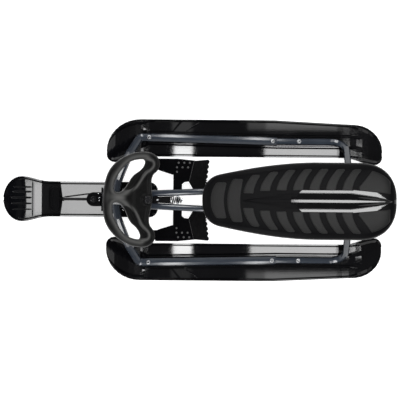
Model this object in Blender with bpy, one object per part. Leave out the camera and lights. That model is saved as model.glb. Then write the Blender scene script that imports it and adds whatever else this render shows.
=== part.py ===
"""Steering sled: a tube frame on two rear skis, a steered front ski, a foot brake and a moulded seat.

The nose points along -X, the left side is +Y and +Z is up. The origin is on the floor, under the
middle of the sled's box. Sizes are in metres.
"""
import math

import bmesh
import bpy
from mathutils import Matrix, Vector

# Clearances
GAP = 0.0003
RUNNING = 0.0003

# Steering axis, leaning back, with the wheel's centre at its top
RAKE = math.radians(30)
WHEEL_X = -0.1455
WHEEL_HEIGHT = 0.285
COLUMN_RADIUS = 0.011
PIVOT_DROP = 0.260
HEAD_DROP = 0.105
HEAD_LENGTH = 0.117
HEAD_RADIUS = 0.017
BUSH_WALL = 0.0024
BUSH_LENGTH = 0.018
BUSH_FLANGE = 0.003
COLLAR_LENGTH = 0.009
COLLAR_RADIUS = 0.0165

# Wheel, a flat butterfly outline with a rounded edge
WHEEL_THICKNESS = 0.024
WHEEL_ROUNDING = 0.0085
WHEEL_REACH = 0.135
WHEEL_DEPTH = 0.1345
WHEEL_SHIFT = 0.004
WHEEL_TURN = math.radians(3.8)
WEB_POCKET = 0.008
WEB_FILLET = 0.003
HUB_RADIUS = 0.022
HUB_DEPTH = 0.030
CAP_RADIUS = 0.0125
CAP_RISE = 0.004
NUT_RADIUS = 0.008

# Pivot at the foot of the column
EYE_RADIUS = 0.012
EYE_LENGTH = 0.040
PIN_RADIUS = 0.005
EAR_RADIUS = 0.014
EAR_WALL = 0.008
PIN_HEAD = 0.004
BRACKET_BACK = 0.057
BRACKET_FRONT = 0.018
BRACKET_HALF_WIDTH = 0.036
BRACKET_FLOOR = 0.006

# Front ski
NOSE_X = -0.5835
FRONT_SKI_LENGTH = 0.4635
SHOVEL_LENGTH = 0.0505
SHOVEL_HALF = 0.0685
FRONT_SKI_HALF = 0.0540
NECK_LENGTH = 0.080
FRONT_TAIL_ROUND = 0.027
FRONT_NOSE_RISE = 0.060
FRONT_NOSE_RUN = 0.1775
FRONT_SKI_WALL = 0.0065
FRONT_RIM = 0.005
FRONT_RIM_WIDTH = 0.0045
KEEL_HALF = 0.010
KEEL_DEPTH = 0.003
DECK_STEP = 0.0012
DECK_START = 0.1635
DECK_POINT = 0.0075
BEAD_Y = 0.0425
BEAD_WIDTH = 0.002
BEAD_HEIGHT = 0.0012
BEAD_FRONT = 0.2785

# Rear skis, one on each side of the frame
RAIL_Y = 0.1815
RAIL_TOE_OUT = 0.0095
SKI_FRONT_X = -0.2732
SKI_LENGTH = 0.8357
SKI_OUTER = 0.0652
SKI_INNER = 0.0488
SKI_FRONT_ROUND = 0.100
SKI_TAIL_ROUND = 0.080
SKI_TAIL_TAPER = 0.016
SKI_TAPER_LENGTH = 0.330
SKI_EDGE_LIFT = 0.002
RIDGE_CLEARANCE = 0.001
RIDGE_DRAFT = 0.0015
TOE_START = 0.003
TOE_IN = 0.0197
TOE_ROUND = 0.022
TOE_LENGTH = 0.085
TAIL_IN = 0.0215
TAIL_ROUND = 0.022
TAIL_LENGTH = 0.110
SKI_NOSE_RISE = 0.060
SKI_NOSE_RUN = 0.105
SKI_TAIL_RISE = 0.024
SKI_TAIL_RUN = 0.115
SKI_WALL = 0.0055
SKI_RIM = 0.006
SKI_RIM_WIDTH = 0.004
TROUGH_FLOOR = 0.0095
RIDGE_RISE = 0.015
RIDGE_WIDTH = 0.003
RIDGE_FOOT = 0.004
RIDGE_START = 0.100
RIDGE_FULL = 0.128
TUNNEL_RISE = 0.009

# Frame tubes
RAIL_RADIUS = 0.0125
HOOP_RADIUS = 0.010
SPINE_RADIUS = 0.0095
RAIL_CORNER_X = -0.1760
RAIL_BEND = 0.016
RAIL_BOW_FORWARD = 0.0115
RAIL_BOW_UP = 0.012
RAIL_BOW_BEND = 0.09
RAIL_HEAD_DROP = 0.200
SLEEVE_END_X = 0.2415
SLEEVE_DEPTH = 0.040
SLEEVE_BEND = 0.2
HOOP_X = 0.4455
HOOP_FOOT_SETBACK = 0.008
HOOP_HEIGHT = 0.165
HOOP_HALF_TOP = 0.070
HOOP_FOOT_BEND = 0.045
HOOP_TOP_BEND = 0.034
SPINE_DROP = 0.152
SPINE_HALF_FRONT = 0.0144
SPINE_HALF_REAR = 0.0448

# Bolts that hold the tubes in the skis
BOLT_RADIUS = 0.003
BOLT_HEAD_RADIUS = 0.0065
BOLT_HEAD = 0.003
BOLT_FLOOR = 0.002
FRONT_BOLT_X = -0.1475
SLEEVE_BOLT_SETBACK = 0.012
REAR_BOLT_X = 0.3095

# Foot brake
AXLE_X = -0.0570
AXLE_HEIGHT = 0.120
AXLE_RADIUS = 0.0035
AXLE_END = 0.006
BRAKE_EAR_WALL = 0.005
BRAKE_EAR_RADIUS = 0.012
SLEEVE_RADIUS = 0.0125
SLEEVE_REACH = 0.074
BRAKE_HALF_WIDTH = 0.1222
PAD_THICKNESS = 0.0045
PAD_SINK = 0.0015
PAD_FRONT_X = -0.1385
PAD_FRONT_SLANT = 0.017
ARM_INNER = 0.0905
CREASE_OUTER_X = -0.0060
CREASE_OUTER_Y = 0.1170
CREASE_SWEEP = math.radians(13)
BLADE_INNER_Y = 0.034
BLADE_FLARE = 0.0062
BLADE_DROP = 0.084
BLADE_THICKNESS = 0.005
TEETH_OUTER_X = 0.0354
TEETH_SWEEP = 0.0095
TOOTH_COUNT = 6
TOOTH_DEPTH = 0.007
NOTCH_Y = 0.056
NOTCH_DEPTH = 0.33
STUD_RADIUS = 0.0026
STUD_RISE = 0.0014
STUD_PITCH = 0.0165
SKIRT_DEPTH = 0.014
PUSH_NUT_RADIUS = 0.0056
PUSH_NUT_WIDTH = 0.003

# Brake spring between the block and the axle's tab
BLOCK_FRONT_X = -0.1390
BLOCK_REAR_X = -0.0652
BLOCK_HEIGHT = 0.016
BLOCK_NOTCH = 0.012
SPRING_RADIUS = 0.0090
SPRING_WIRE = 0.0012
SPRING_TURNS = 5.0
SPRING_HEIGHT = 0.148
TAB_THICKNESS = 0.003
TAB_HALF_WIDTH = 0.007
TAB_SETBACK = 0.0125

# Seat
SEAT_FRONT_X = 0.0155
SEAT_LENGTH = 0.5630
SEAT_HALF_WIDTH = 0.112
SEAT_FRONT_HALF = 0.0645
SEAT_TAPER_LENGTH = 0.338
SEAT_FRONT_ROUND = 0.053
SEAT_REAR_ROUND = 0.115
SEAT_BOTTOM = 0.182
SEAT_THICKNESS = 0.046
SEAT_KICK = 0.003
SPINE_RIDGE = 0.009
SPINE_RIDGE_HALF = 0.0225
SPINE_RIDGE_CREST = 0.22
SPINE_RIDGE_START = 0.119
SPINE_RIDGE_FULL = 0.253
SPINE_RIDGE_END = 0.017
SPINE_RIDGE_NARROW = 0.135
GRIP_PITCH = 0.0473
GRIP_WIDTH = 0.029
GRIP_SLANT = 0.031
GRIP_INNER = 0.031
GRIP_MARGIN = 0.019
GRIP_RISE = 0.0016
GRIP_START = 0.133
GRIP_CLEARANCE = 0.012
GRIP_SHAPE = [(0.0, 0.88), (0.05, 1.03), (0.3, 1.0), (0.6, 0.94), (0.9, 0.84), (1.0, 0.62)]
BAND_FIRST = 0.0434
BAND_PITCH = 0.0473
BAND_WIDTH = 0.035
BAND_BOW = 0.0125
REAR_GRIP_LENGTH = 0.092
REAR_GRIP_MARGIN = 0.0215
SADDLE_LENGTH = 0.034
SADDLE_FRONT_X = 0.0835
SADDLE_REAR_X = 0.3935
SADDLE_WALL = 0.007
SEAT_BOLT_RADIUS = 0.003
SEAT_BOLT_HEAD = 0.0055
SEAT_BOLT_DEPTH = 0.014
SEAT_BOLT_Y = 0.010

# Reel, tow line and handle on the front ski
REEL_HALF_WIDTH = 0.0213
REEL_HEIGHT = 0.036
REEL_COVER = 0.003
REEL_DISC_RADIUS = 0.014
REEL_DISC_RISE = 0.002
SPOOL_RADIUS = 0.013
SPOOL_POST = 0.003
SPOOL_HEIGHT = 0.026
CAVITY_MARGIN = 0.0012
REEL_FLOOR = 0.003
REEL_SCREW_RADIUS = 0.0012
REEL_SCREW_HEAD = 0.0022
REEL_SCREW_LENGTH = 0.009
TOW_RADIUS = 0.0043
STRAND_RADIUS = 0.002
TOW_HEIGHT = 0.018
STRAND_Y = 0.0170
HANDLE_X = -0.4345
HANDLE_LENGTH = 0.077
HANDLE_WIDTH = 0.033
HANDLE_THICKNESS = 0.016
HANDLE_ROUNDING = 0.005
HANDLE_TILT = math.radians(3)
HANDLE_SEAT = 0.0195
HANDLE_BOSS = 0.007
HANDLE_BOSS_LENGTH = 0.009

SIDES = {"left": 1.0, "right": -1.0}


# Scene, collections and finishes
def fresh_collection(name, hidden=False):
    group = bpy.data.collections.new(name)
    bpy.context.scene.collection.children.link(group)
    group.hide_render = hidden
    return group


for leftover in list(bpy.data.objects):
    bpy.data.objects.remove(leftover, do_unlink=True)
PARTS = fresh_collection("steering_sled")
CUTTERS = fresh_collection("cutters", hidden=True)

FINISHES = {
    "lacquer": ((0.050, 0.058, 0.072), 0.32, 0.55),
    "gloss_black": ((0.008, 0.008, 0.009), 0.12, 0.0),
    "satin_black": ((0.012, 0.012, 0.012), 0.42, 0.0),
    "matt_black": ((0.010, 0.010, 0.010), 0.62, 0.0),
    "soft_grey": ((0.033, 0.033, 0.031), 0.68, 0.0),
    "zinc": ((0.62, 0.63, 0.65), 0.28, 1.0),
    "nylon": ((0.018, 0.018, 0.020), 0.55, 0.0),
}


def finish(part, kind):
    """Give a part its own material of one of the finishes."""
    colour, roughness, metallic = FINISHES[kind]
    material = bpy.data.materials.new(part.name + "_" + kind)
    material.use_nodes = True
    shader = material.node_tree.nodes["Principled BSDF"]
    shader.inputs["Base Color"].default_value = (*colour, 1.0)
    shader.inputs["Roughness"].default_value = roughness
    shader.inputs["Metallic"].default_value = metallic
    part.data.materials.clear()
    part.data.materials.append(material)
    return part


# Shapes
def new_part(name, mesh):
    part = bpy.data.objects.new(name, mesh)
    PARTS.objects.link(part)
    return part


def from_bmesh(name, bm, smooth=True):
    bmesh.ops.recalc_face_normals(bm, faces=bm.faces)
    mesh = bpy.data.meshes.new(name)
    bm.to_mesh(mesh)
    bm.free()
    if smooth:
        mesh.shade_smooth()
        mesh.set_sharp_from_angle(angle=math.radians(35))
    return new_part(name, mesh)


def rod(name, start, end, radius, sides=20, end_radius=None):
    """A cylinder or cone between two points."""
    start, end = Vector(start), Vector(end)
    along = end - start
    turn = Vector((0, 0, 1)).rotation_difference(along).to_matrix().to_4x4()
    place = Matrix.Translation((start + end) / 2) @ turn
    bm = bmesh.new()
    bmesh.ops.create_cone(bm, cap_ends=True, segments=sides, radius1=radius,
                          radius2=radius if end_radius is None else end_radius,
                          depth=along.length, matrix=place)
    return from_bmesh(name, bm)


def block(name, low, high):
    """A box between two opposite corners."""
    low, high = Vector(low), Vector(high)
    bm = bmesh.new()
    place = Matrix.Translation((low + high) / 2) @ Matrix.Diagonal((*(high - low), 1))
    bmesh.ops.create_cube(bm, size=1.0, matrix=place)
    return from_bmesh(name, bm, smooth=False)


def curve_to_mesh(source):
    """Turn a curve object into a welded mesh object of the same name and place."""
    name = source.name
    bpy.context.view_layer.update()
    evaluated = source.evaluated_get(bpy.context.evaluated_depsgraph_get())
    mesh = bpy.data.meshes.new_from_object(evaluated)
    place = source.matrix_world.copy()
    bpy.data.objects.remove(source, do_unlink=True)
    bm = bmesh.new()
    bm.from_mesh(mesh)
    bmesh.ops.remove_doubles(bm, verts=bm.verts, dist=0.00002)
    bm.transform(place)
    return from_bmesh(name, bm)


def plate(name, outlines, thickness, rounding=0.0, rounding_steps=2):
    """A flat outline with optional holes, extruded about its own plane and rounded at the edge."""
    curve = bpy.data.curves.new(name, "CURVE")
    curve.dimensions = "2D"
    curve.fill_mode = "BOTH"
    curve.extrude = thickness / 2 - rounding
    curve.bevel_depth = rounding
    curve.bevel_resolution = rounding_steps
    curve.offset = -rounding
    for outline in outlines:
        spline = curve.splines.new("POLY")
        spline.points.add(len(outline) - 1)
        spline.use_cyclic_u = True
        for point, (x, y) in zip(spline.points, outline):
            point.co = (x, y, 0, 1)
    return curve_to_mesh(new_part(name, curve))


def place_plate(part, matrix):
    """Move a plate's mesh from its drawing plane to its place on the sled."""
    part.data.transform(matrix)
    return part


def tube(name, points, radius, resolution=2):
    """A round tube with closed ends along a list of points."""
    curve = bpy.data.curves.new(name, "CURVE")
    curve.dimensions = "3D"
    curve.bevel_depth = radius
    curve.bevel_resolution = resolution
    curve.use_fill_caps = True
    spline = curve.splines.new("POLY")
    spline.points.add(len(points) - 1)
    for point, place in zip(spline.points, points):
        point.co = (*place, 1)
    return curve_to_mesh(new_part(name, curve))


def rounded_path(corners, bends, step=math.radians(15)):
    """Straight runs between corners, with an arc of the given radius at each inner corner."""
    corners = [Vector(corner) for corner in corners]
    path = [corners[0]]
    for index, bend in enumerate(bends, start=1):
        corner = corners[index]
        back = (corners[index - 1] - corner).normalized()
        ahead = (corners[index + 1] - corner).normalized()
        opening = back.angle(ahead)
        reach = bend / math.tan(opening / 2)
        centre = corner + (back + ahead).normalized() * bend / math.sin(opening / 2)
        first = corner + back * reach - centre
        turn = math.pi - opening
        steps = max(2, math.ceil(turn / step))
        axis = first.cross(corner + ahead * reach - centre).normalized()
        for count in range(steps + 1):
            path.append(centre + Matrix.Rotation(turn * count / steps, 3, axis) @ first)
    path.append(corners[-1])
    return path


def loft(name, upper, lower):
    """A closed solid between an upper and a lower grid of points with the same rows."""
    bm = bmesh.new()
    top = [[bm.verts.new(point) for point in row] for row in upper]
    base = [[bm.verts.new(point) for point in row] for row in lower]
    rows, columns = len(top), len(top[0])
    for i in range(rows - 1):
        for j in range(columns - 1):
            bm.faces.new((top[i][j], top[i + 1][j], top[i + 1][j + 1], top[i][j + 1]))
            bm.faces.new((base[i][j], base[i][j + 1], base[i + 1][j + 1], base[i + 1][j]))
    rim = [(i, 0) for i in range(rows)] + [(rows - 1, j) for j in range(1, columns)]
    rim += [(i, columns - 1) for i in range(rows - 2, -1, -1)]
    rim += [(0, j) for j in range(columns - 2, 0, -1)]
    for (i, j), (k, m) in zip(rim, rim[1:] + rim[:1]):
        bm.faces.new((top[i][j], base[i][j], base[k][m], top[k][m]))
    return from_bmesh(name, bm)


def ring_loft(name, rings):
    """A closed solid through rings of points, with a flat face at each end."""
    bm = bmesh.new()
    loops = [[bm.verts.new(point) for point in ring] for ring in rings]
    count = len(loops[0])
    for first, second in zip(loops, loops[1:]):
        for j in range(count):
            k = (j + 1) % count
            bm.faces.new((first[j], first[k], second[k], second[j]))
    bm.faces.new(loops[0])
    bm.faces.new(loops[-1])
    return from_bmesh(name, bm)


def apply_boolean(part, other, operation, keep=False):
    """Combine a part with another solid and keep the result as the part's own mesh."""
    step = part.modifiers.new(operation.lower(), "BOOLEAN")
    step.operation = operation
    step.solver = "EXACT"
    step.object = other
    bpy.context.view_layer.update()
    evaluated = part.evaluated_get(bpy.context.evaluated_depsgraph_get())
    mesh = bpy.data.meshes.new_from_object(evaluated)
    part.modifiers.clear()
    part.data = mesh
    part.data.set_sharp_from_angle(angle=math.radians(35))
    if not keep:
        bpy.data.objects.remove(other, do_unlink=True)
    return part


def join(part, *others):
    for other in others:
        apply_boolean(part, other, "UNION")
    return part


def cut(part, *cutters):
    for cutter in cutters:
        apply_boolean(part, cutter, "DIFFERENCE")
    return part


def drill(part, start, end, radius, sides=16):
    """Cut a round hole between two points."""
    return cut(part, rod("drill", start, end, radius, sides))


def arc(centre, radius, start, end, steps):
    """Points on an arc, in degrees, as drawing-plane pairs."""
    angles = [math.radians(start + (end - start) * i / steps) for i in range(steps + 1)]
    return [(centre[0] + radius * math.cos(a), centre[1] + radius * math.sin(a)) for a in angles]


def smooth_loop(points, steps=2):
    """Points on a closed Catmull-Rom curve through the given points."""
    loop = []
    count = len(points)
    for i in range(count):
        p0, p1, p2, p3 = [Vector(points[(i + k) % count]) for k in (-1, 0, 1, 2)]
        for step in range(steps):
            t = step / steps
            bent = (2 * p1 + (p2 - p0) * t + (2 * p0 - 5 * p1 + 4 * p2 - p3) * t * t
                    + (3 * p1 - p0 - 3 * p2 + p3) * t ** 3) / 2
            loop.append((bent.x, bent.y))
    return loop


def ease(value):
    """A smooth step from 0 to 1."""
    value = min(max(value, 0.0), 1.0)
    return value * value * (3 - 2 * value)


# Key places worked out from the driving sizes
WHEEL_CENTRE = Vector((WHEEL_X, 0, WHEEL_HEIGHT))
UP_COLUMN = Vector((math.sin(RAKE), 0, math.cos(RAKE)))
WHEEL_PLACE = Matrix.Translation(WHEEL_CENTRE) @ Matrix.Rotation(RAKE, 4, "Y")
RAIL_HEIGHT = TROUGH_FLOOR + RAIL_RADIUS + GAP
SIDEWAYS = Matrix.Rotation(math.radians(90), 4, "X")


def on_column(drop):
    """The point on the steering axis at a distance below the wheel's centre."""
    return WHEEL_CENTRE - UP_COLUMN * drop


PIVOT = on_column(PIVOT_DROP)
SPINE_FRONT = on_column(SPINE_DROP)
HEAD_FOOT_DROP = HEAD_DROP + HEAD_LENGTH
BUSH_RADIUS = COLUMN_RADIUS + RUNNING + BUSH_WALL
EAR_INNER = EYE_LENGTH / 2 + RUNNING
EAR_OUTER = EAR_INNER + EAR_WALL


def spine_half(x):
    """Half the distance between the spine tubes' centre lines."""
    share = (x - SPINE_FRONT.x) / (HOOP_X - SPINE_FRONT.x)
    return SPINE_HALF_FRONT + (SPINE_HALF_REAR - SPINE_HALF_FRONT) * share


def spine_height(x):
    share = (x - SPINE_FRONT.x) / (HOOP_X - SPINE_FRONT.x)
    return SPINE_FRONT.z + (HOOP_HEIGHT - SPINE_FRONT.z) * share


def spine_point(x, side):
    return Vector((x, side * spine_half(x), spine_height(x)))


def head_solid(name, extra=0.0):
    return rod(name, on_column(HEAD_DROP), on_column(HEAD_FOOT_DROP), HEAD_RADIUS + extra, 24)


# Frame tubes
def build_head():
    head = finish(head_solid("head_tube"), "lacquer")
    drill(head, on_column(HEAD_DROP - 0.01), on_column(HEAD_FOOT_DROP + 0.01), BUSH_RADIUS + GAP, 24)
    ends = {"bush_upper": (HEAD_DROP, 1), "bush_lower": (HEAD_FOOT_DROP, -1)}
    for name, (drop, sign) in ends.items():
        outside = drop - sign * (BUSH_FLANGE + GAP)
        bush = rod(name, on_column(outside), on_column(drop + sign * BUSH_LENGTH), BUSH_RADIUS, 24)
        flange = rod("flange", on_column(outside), on_column(drop - sign * GAP), HEAD_RADIUS, 24)
        join(bush, flange)
        drill(bush, on_column(outside - sign * 0.01), on_column(drop + sign * 0.05),
              COLUMN_RADIUS + RUNNING, 24)
        finish(bush, "nylon")


def build_front_tube(name, side):
    """From the head out and down to the ski, then back along it as a sleeve for the hoop."""
    start = on_column(RAIL_HEAD_DROP)
    corner = Vector((RAIL_CORNER_X, side * (RAIL_Y + RAIL_TOE_OUT), RAIL_HEIGHT))
    inner = Vector((SLEEVE_END_X, side * RAIL_Y, RAIL_HEIGHT))
    bow = Vector((-RAIL_BOW_FORWARD, 0, RAIL_BOW_UP))
    bowed = [start.lerp(corner, share) + bow for share in (0.29, 0.72)]
    path = rounded_path([start, *bowed, corner, inner], [RAIL_BOW_BEND, RAIL_BOW_BEND, RAIL_BEND])
    rail = tube(name, path, RAIL_RADIUS, 3)
    cut(rail, head_solid("cope", GAP))
    back = (corner - inner).normalized()
    drill(rail, inner - back * 0.01, inner + back * (SLEEVE_DEPTH + 0.002), HOOP_RADIUS + GAP, 20)
    for x in (FRONT_BOLT_X, SLEEVE_END_X - SLEEVE_BOLT_SETBACK):
        hole = Vector((x, side * rail_line(x), RAIL_HEIGHT))
        through = Vector((0, 0, 2 * RAIL_RADIUS))
        drill(rail, hole - through, hole + through, BOLT_RADIUS + GAP, 12)
    finish(rail, "lacquer")


def rail_line(x):
    """Distance of the rail's centre line from the sled's middle; it toes out towards the front."""
    share = (SLEEVE_END_X - x) / (SLEEVE_END_X - RAIL_CORNER_X)
    return RAIL_Y + RAIL_TOE_OUT * min(max(share, 0.0), 1.0)


def build_hoop():
    """One tube: plugged into both sleeves, bent up behind and across under the seat."""
    foot_x = HOOP_X + HOOP_FOOT_SETBACK
    half = []
    for side in SIDES.values():
        back = Vector((RAIL_CORNER_X - SLEEVE_END_X, side * RAIL_TOE_OUT, 0)).normalized()
        plug = Vector((SLEEVE_END_X, side * RAIL_Y, RAIL_HEIGHT)) + back * SLEEVE_DEPTH
        half.append([plug, (SLEEVE_END_X, side * RAIL_Y, RAIL_HEIGHT),
                     (foot_x, side * RAIL_Y, RAIL_HEIGHT), (HOOP_X, side * HOOP_HALF_TOP, HOOP_HEIGHT)])
    corners = half[0] + half[1][::-1]
    bends = [SLEEVE_BEND, HOOP_FOOT_BEND, HOOP_TOP_BEND, HOOP_TOP_BEND, HOOP_FOOT_BEND, SLEEVE_BEND]
    hoop = tube("rear_hoop", rounded_path(corners, bends, math.radians(18)), HOOP_RADIUS, 2)
    for side in SIDES.values():
        for x in (SLEEVE_END_X - SLEEVE_BOLT_SETBACK, REAR_BOLT_X):
            hole = Vector((x, side * rail_line(x), RAIL_HEIGHT))
            through = Vector((0, 0, 2 * RAIL_RADIUS))
            drill(hoop, hole - through, hole + through, BOLT_RADIUS + GAP, 12)
    finish(hoop, "lacquer")


def build_spine(name, side):
    """A straight tube, coped to the head tube in front and to the hoop behind."""
    spine = rod(name, spine_point(SPINE_FRONT.x, side), spine_point(HOOP_X, side), SPINE_RADIUS, 20)
    cut(spine, head_solid("cope", GAP))
    reach = Vector((0, HOOP_HALF_TOP, 0))
    centre = Vector((HOOP_X, 0, HOOP_HEIGHT))
    drill(spine, centre - reach, centre + reach, HOOP_RADIUS + GAP, 24)
    finish(spine, "lacquer")


# Rear skis
def toe_curve(distance, reach, rounding, length):
    """How far the inner edge swings in at a distance from the ski's end."""
    if distance < rounding:
        return (reach + TOE_START) * math.sqrt(1 - (1 - distance / rounding) ** 2) - TOE_START
    share = min((distance - rounding) / (length - rounding), 1.0)
    return reach * (1 + math.cos(math.pi * share)) / 2


def ski_edges(x):
    """Inner and outer edge of the left ski at a station."""
    ahead = x - SKI_FRONT_X
    behind = SKI_FRONT_X + SKI_LENGTH - x
    outer = RAIL_Y + SKI_OUTER
    taper = 1 - min(behind / SKI_TAPER_LENGTH, 1.0)
    outer -= SKI_TAIL_TAPER * taper
    for distance, rounding in ((ahead, SKI_FRONT_ROUND), (behind, SKI_TAIL_ROUND)):
        if distance < rounding:
            outer -= rounding - math.sqrt(rounding ** 2 - (rounding - distance) ** 2)
    inner = RAIL_Y - SKI_INNER
    inner -= toe_curve(ahead, TOE_IN, TOE_ROUND, TOE_LENGTH) if ahead < TOE_LENGTH else 0.0
    inner -= toe_curve(behind, TAIL_IN, TAIL_ROUND, TAIL_LENGTH) if behind < TAIL_LENGTH else 0.0
    return inner, outer


def ski_lift(x):
    """Height of the running surface, which curls up at both ends."""
    ahead = 1 - min((x - SKI_FRONT_X) / SKI_NOSE_RUN, 1.0)
    behind = 1 - min((SKI_FRONT_X + SKI_LENGTH - x) / SKI_TAIL_RUN, 1.0)
    return SKI_NOSE_RISE * ahead ** 1.8 + SKI_TAIL_RISE * behind ** 2


def ski_section(x):
    """Upper and lower rows of a ski at a station: rims, flanges, and the trough between ridges."""
    inner, outer = ski_edges(x)
    lift = ski_lift(x)
    ahead = x - SKI_FRONT_X
    behind = SKI_FRONT_X + SKI_LENGTH - x
    body = ease((ahead - RIDGE_START) / (RIDGE_FULL - RIDGE_START))
    body *= ease((behind - 0.5 * SKI_TAIL_RUN) / (0.4 * SKI_TAIL_RUN))
    centre = rail_line(x)
    radius = RAIL_RADIUS if x < SLEEVE_END_X + GAP else HOOP_RADIUS
    floor = RAIL_HEIGHT - radius - GAP
    wall = RAIL_RADIUS + RIDGE_CLEARANCE
    crest = wall + RIDGE_DRAFT
    marks = [wall, crest, crest + RIDGE_WIDTH, crest + RIDGE_WIDTH + RIDGE_FOOT]
    ridge = SKI_WALL + RIDGE_RISE
    rim = SKI_WALL + SKI_RIM
    places = [inner, inner + SKI_RIM_WIDTH, inner + 2 * SKI_RIM_WIDTH]
    places += [centre - mark for mark in reversed(marks)] + [centre]
    places += [centre + mark for mark in marks]
    places += [outer - 2 * SKI_RIM_WIDTH, outer - SKI_RIM_WIDTH, outer]
    heights = [rim, rim, SKI_WALL, SKI_WALL, ridge, ridge, floor, floor]
    heights += [floor, ridge, ridge, SKI_WALL, SKI_WALL, rim, rim]
    tunnel = [0, 0, 0, TUNNEL_RISE, TUNNEL_RISE, 0]
    base = [SKI_EDGE_LIFT] + tunnel + [0] + tunnel[::-1] + [SKI_EDGE_LIFT]
    even = [inner + (outer - inner) * j / (len(places) - 1) for j in range(len(places))]
    plain = [rim, rim] + [SKI_WALL] * (len(places) - 4) + [rim, rim]
    flat = [SKI_EDGE_LIFT] + [0] * (len(places) - 2) + [SKI_EDGE_LIFT]
    upper, lower = [], []
    for j, place in enumerate(places):
        y = even[j] + (place - even[j]) * body
        upper.append((x, y, lift + plain[j] + (heights[j] - plain[j]) * body))
        lower.append((x, y, lift + flat[j] + (base[j] - flat[j]) * body))
    return upper, lower


def ski_stations():
    """Stations along a rear ski, close together round its ends and at its steps."""
    rear = SKI_FRONT_X + SKI_LENGTH
    front = [SKI_FRONT_X + SKI_FRONT_ROUND * (1 - math.cos(math.radians(90 * i / 9))) for i in range(10)]
    tail = [rear - SKI_TAIL_RUN * (1 - math.cos(math.radians(90 * i / 9))) for i in range(9, -1, -1)]
    middle = [SKI_FRONT_X + RIDGE_START + (RIDGE_FULL - RIDGE_START) * share for share in (0.25, 0.6, 1.0)]
    middle += [SLEEVE_END_X, SLEEVE_END_X + SKI_WALL / 3, rear - SKI_TAPER_LENGTH,
              (rear - SKI_TAPER_LENGTH + rear - SKI_TAIL_RUN) / 2]
    inside = [x for x in middle if front[-1] + SKI_WALL / 2 < x < tail[0] - SKI_WALL / 2]
    return front + sorted(inside) + tail


def build_rear_ski(name, side):
    rows = [ski_section(x) for x in ski_stations()]
    upper = [[(x, side * y, z) for x, y, z in top] for top, _ in rows]
    lower = [[(x, side * y, z) for x, y, z in base] for _, base in rows]
    ski = loft(name, upper, lower)
    for x in (FRONT_BOLT_X, SLEEVE_END_X - SLEEVE_BOLT_SETBACK, REAR_BOLT_X):
        y = side * rail_line(x)
        drill(ski, (x, y, BOLT_FLOOR), (x, y, RAIL_HEIGHT), BOLT_RADIUS + GAP, 12)
    finish(ski, "gloss_black")


def build_ski_bolts(label, side):
    """A domed bolt through the tube into the ski at each fixing."""
    fixings = {
        "ski_bolt_front_" + label: (FRONT_BOLT_X, RAIL_RADIUS),
        "sleeve_bolt_" + label: (SLEEVE_END_X - SLEEVE_BOLT_SETBACK, RAIL_RADIUS),
        "ski_bolt_rear_" + label: (REAR_BOLT_X, HOOP_RADIUS),
    }
    for name, (x, radius) in fixings.items():
        y = side * rail_line(x)
        seat = RAIL_HEIGHT + radius + GAP
        bolt = rod(name, (x, y, BOLT_FLOOR + GAP), (x, y, seat + BOLT_HEAD / 2), BOLT_RADIUS, 12)
        head = rod("head", (x, y, seat), (x, y, seat + BOLT_HEAD), BOLT_HEAD_RADIUS, 16,
                   BOLT_HEAD_RADIUS * 0.62)
        join(bolt, head)
        finish(bolt, "zinc")


# Front ski and its bracket
def front_half(distance):
    """Half the front ski's width at a distance from its nose."""
    behind = FRONT_SKI_LENGTH - distance
    if distance < SHOVEL_LENGTH:
        return SHOVEL_HALF * math.sqrt(max(1 - (1 - distance / SHOVEL_LENGTH) ** 2, 0.09 ** 2))
    share = min((distance - SHOVEL_LENGTH) / NECK_LENGTH, 1.0)
    half = FRONT_SKI_HALF + (SHOVEL_HALF - FRONT_SKI_HALF) * (1 + math.cos(math.pi * share)) / 2
    if behind < FRONT_TAIL_ROUND:
        half -= FRONT_TAIL_ROUND - math.sqrt(FRONT_TAIL_ROUND ** 2 - (FRONT_TAIL_ROUND - behind) ** 2)
    return half


def front_lift(x):
    ahead = 1 - min((x - NOSE_X) / FRONT_NOSE_RUN, 1.0)
    return FRONT_NOSE_RISE * max(ahead, 0.0) ** 2.5


def front_ski_top(x):
    """Height of the front ski's upper face inside its rims."""
    return front_lift(x) + FRONT_SKI_WALL


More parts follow.
